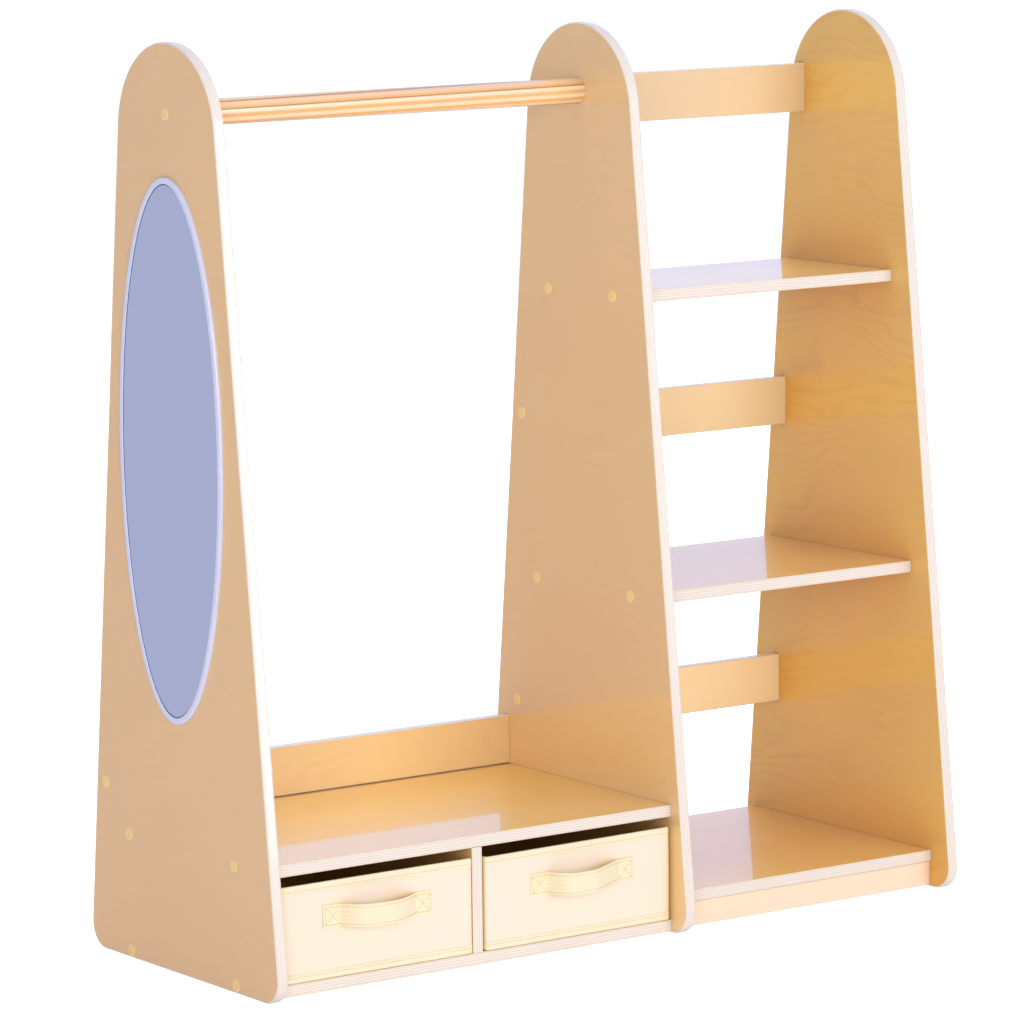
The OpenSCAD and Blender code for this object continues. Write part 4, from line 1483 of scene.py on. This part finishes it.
@dataclass
class Studio:
    """White studio: an even cool surround, a large soft light beside the camera, and a pale floor.

    Attributes:
        surround: Colour of the light that comes evenly from all round.
        surround_level: Its strength.
        reflected: Colour of the studio above the floor, as glossy surfaces show it.
        reflected_level: Its strength.
        floor_reflected: Colour of the floor, as glossy surfaces show it.
        floor_reflected_level: Its strength.
        floor: Colour of the floor.
        floor_glow: What is added to the floor where it is seen, so that it reads as white.
        floor_bounce: What is added to the light that the floor throws up at the object.
        floor_size: Length of its side.
        white: Colour of what the camera sees behind the object.
        target: The point that the lights face, in the object's middle.
        lights: The soft lights.
    """

    surround: str = "#F6F5FF"
    surround_level: float = 0.38
    reflected: str = "#BCCFF8"
    reflected_level: float = 1.53
    floor_reflected: str = "#CED5FD"
    floor_reflected_level: float = 0.72
    floor: str = "#F4F3F1"
    floor_glow: float = 0.8
    floor_bounce: float = 0.26
    floor_size: float = 60.0
    white: str = "#FFFFFF"
    target: tuple = (0.1, 0.0, 0.5)
    lights: tuple = (SoftLight("key", (-3.3, -4.8, 1.2), 3.0, 160.0),
                     SoftLight("fill", (1.4, -5.0, 1.1), 2.4, 88.0),
                     SoftLight("back", (3.2, 4.4, 3.0), 3.0, 140.0, False),
                     SoftLight("top", (0.2, -0.4, 5.0), 3.0, 72.0, False))

    def build(self) -> None:
        """Makes the surround, the floor and the lights."""
        world = bpy.data.worlds.new("studio")
        bpy.context.scene.world = world
        world.use_nodes = True
        tree = world.node_tree
        tree.nodes.clear()
        rays = add_node(tree, "ShaderNodeLightPath").outputs
        levels = ((self.surround, self.surround_level), (self.reflected, self.reflected_level),
                  (self.white, 1.0))
        light, *seen = (
            add_node(tree, "ShaderNodeBackground", {"Color": linear(colour), "Strength": level})
            for colour, level in levels)
        for ray, other in zip(("Is Glossy Ray", "Is Camera Ray"), seen):
            light = add_node(tree, "ShaderNodeMixShader", {0: rays[ray], 1: light.outputs[0],
                                                           2: other.outputs[0]})
        add_node(tree, "ShaderNodeOutputWorld", {0: light.outputs[0]})
        self.make_floor()
        for lamp in self.lights:
            lamp.build(Vector(self.target))

    def make_floor(self) -> None:
        """Makes the floor: pale, keeping the object's shadow, and white where nothing shades it."""
        half = self.floor_size / 2
        mesh = bpy.data.meshes.new("studio_floor")
        mesh.from_pydata([(-half, -half, 0), (half, -half, 0), (half, half, 0), (-half, half, 0)], [],
                         [(0, 1, 2, 3)])
        floor = bpy.data.objects.new("studio_floor", mesh)
        bpy.context.scene.collection.objects.link(floor)
        material = bpy.data.materials.new("pale_floor")
        material.use_nodes = True
        tree = material.node_tree
        tree.nodes.clear()
        paint = add_node(tree, "ShaderNodeBsdfDiffuse", {"Color": linear(self.floor)})
        rays = add_node(tree, "ShaderNodeLightPath").outputs
        level = add_node(tree, "ShaderNodeMapRange", {
            "Value": rays["Is Camera Ray"], "To Min": self.floor_bounce, "To Max": self.floor_glow})
        levels = ((self.white, level.outputs[0]),
                  (self.floor_reflected, self.floor_reflected_level))
        glow, shown = (
            add_node(tree, "ShaderNodeEmission", {"Color": linear(colour), "Strength": strength})
            for colour, strength in levels)
        total = add_node(tree, "ShaderNodeAddShader", {0: paint.outputs[0], 1: glow.outputs[0]})
        both = add_node(tree, "ShaderNodeMixShader", {0: rays["Is Glossy Ray"], 1: total.outputs[0],
                                                      2: shown.outputs[0]})
        add_node(tree, "ShaderNodeOutputMaterial", {"Surface": both.outputs[0]})
        mesh.materials.append(material)


@dataclass(frozen=True)
class Viewpoint:
    """The photograph's camera, solved from the object's edges.

    Attributes:
        place: Where it stands, in metres.
        yaw: Its turn to the right of +Y, in degrees.
        pitch: Its tilt downwards, in degrees.
        roll: Its roll, in degrees, positive where the camera's top leans right.
        focal_px: Its focal length in pixels of the square picture.
    """

    place: tuple = (-3.75706, -5.29353, 1.46280)
    yaw: float = 35.1893
    pitch: float = 8.26575
    roll: float = 0.70134
    focal_px: float = 5222.26

    def build(self) -> None:
        """Makes the camera and sets it as the scene's own."""
        lens = bpy.data.cameras.new("camera")
        lens.lens = self.focal_px * lens.sensor_width / PICTURE_PX
        camera = bpy.data.objects.new("camera", lens)
        yaw, pitch, roll = (math.radians(a) for a in (self.yaw, self.pitch, self.roll))
        forward = Vector((math.sin(yaw) * math.cos(pitch), math.cos(yaw) * math.cos(pitch),
                          -math.sin(pitch)))
        side = Vector((math.cos(yaw), -math.sin(yaw), 0.0))
        up = side.cross(forward)
        right = side * math.cos(roll) - up * math.sin(roll)
        top = side * math.sin(roll) + up * math.cos(roll)
        camera.matrix_world = Matrix((right, top, -forward)).transposed().to_4x4()
        camera.location = self.place
        bpy.context.scene.collection.objects.link(camera)
        bpy.context.scene.camera = camera


def main() -> None:
    """Builds the camera, the finishes, the two bins and the studio."""
    logging.basicConfig(level=logging.INFO, format="%(name)s %(message)s")
    bpy.context.scene.view_settings.view_transform = "Standard"
    Viewpoint().build()
    Carcass().dress()
    # The walls: matt, pale and slightly pink, with a fine weave and a swell that catches the light.
    canvas = Cloth("#EDDDCD", "#E2CEB7").make("stiffened_canvas")
    # The lining, seen only over the rim, and the base board: the same weave without a sheen, in a guessed
    # warm tan kept darker and warmer than the walls so that it also paints the shade and warm bounced
    # light inside the bin.
    lining = Cloth("#D6A45F", "#BE8C4B", sheen=0.0).make("cotton_lining")
    # The hem and the binding: a touch yellower and finer than the walls, so that they stand out.
    tape = Cloth("#EBE0C8", "#DFCFAE", 1.2 * MM).make("cotton_tape")
    # The handles: thick threads and ribs along the strap, pale yellow.
    webbing = Cloth("#F3E6CF", "#DFCDA0", 1.8 * MM, 0.2 * MM, rib=5 * MM).make("cotton_webbing")
    # The stitches: dull ochre thread, too fine to show its twist.
    cotton = Moulding("#C6B27E", 0.8, 0.5 * MM, 0.05 * MM).make("cotton_thread")
    handles = (BinHandle("left_bin_handle", 0.3, 0.55, 1.6, 1.0),
               BinHandle("right_bin_handle", 0.25, 0.5, 1.05, -0.6))
    cloths = (canvas, tape, webbing, cotton, lining)
    FabricBin("left_bin", handles[0], *cloths, seed=1.3, sag=0.0, corner=4 * MM).build()
    FabricBin("right_bin", handles[1], *cloths, seed=4.2, sag=1.8 * MM, corner=5 * MM).build()
    Studio().build()


if __name__ == "__main__":
    main()
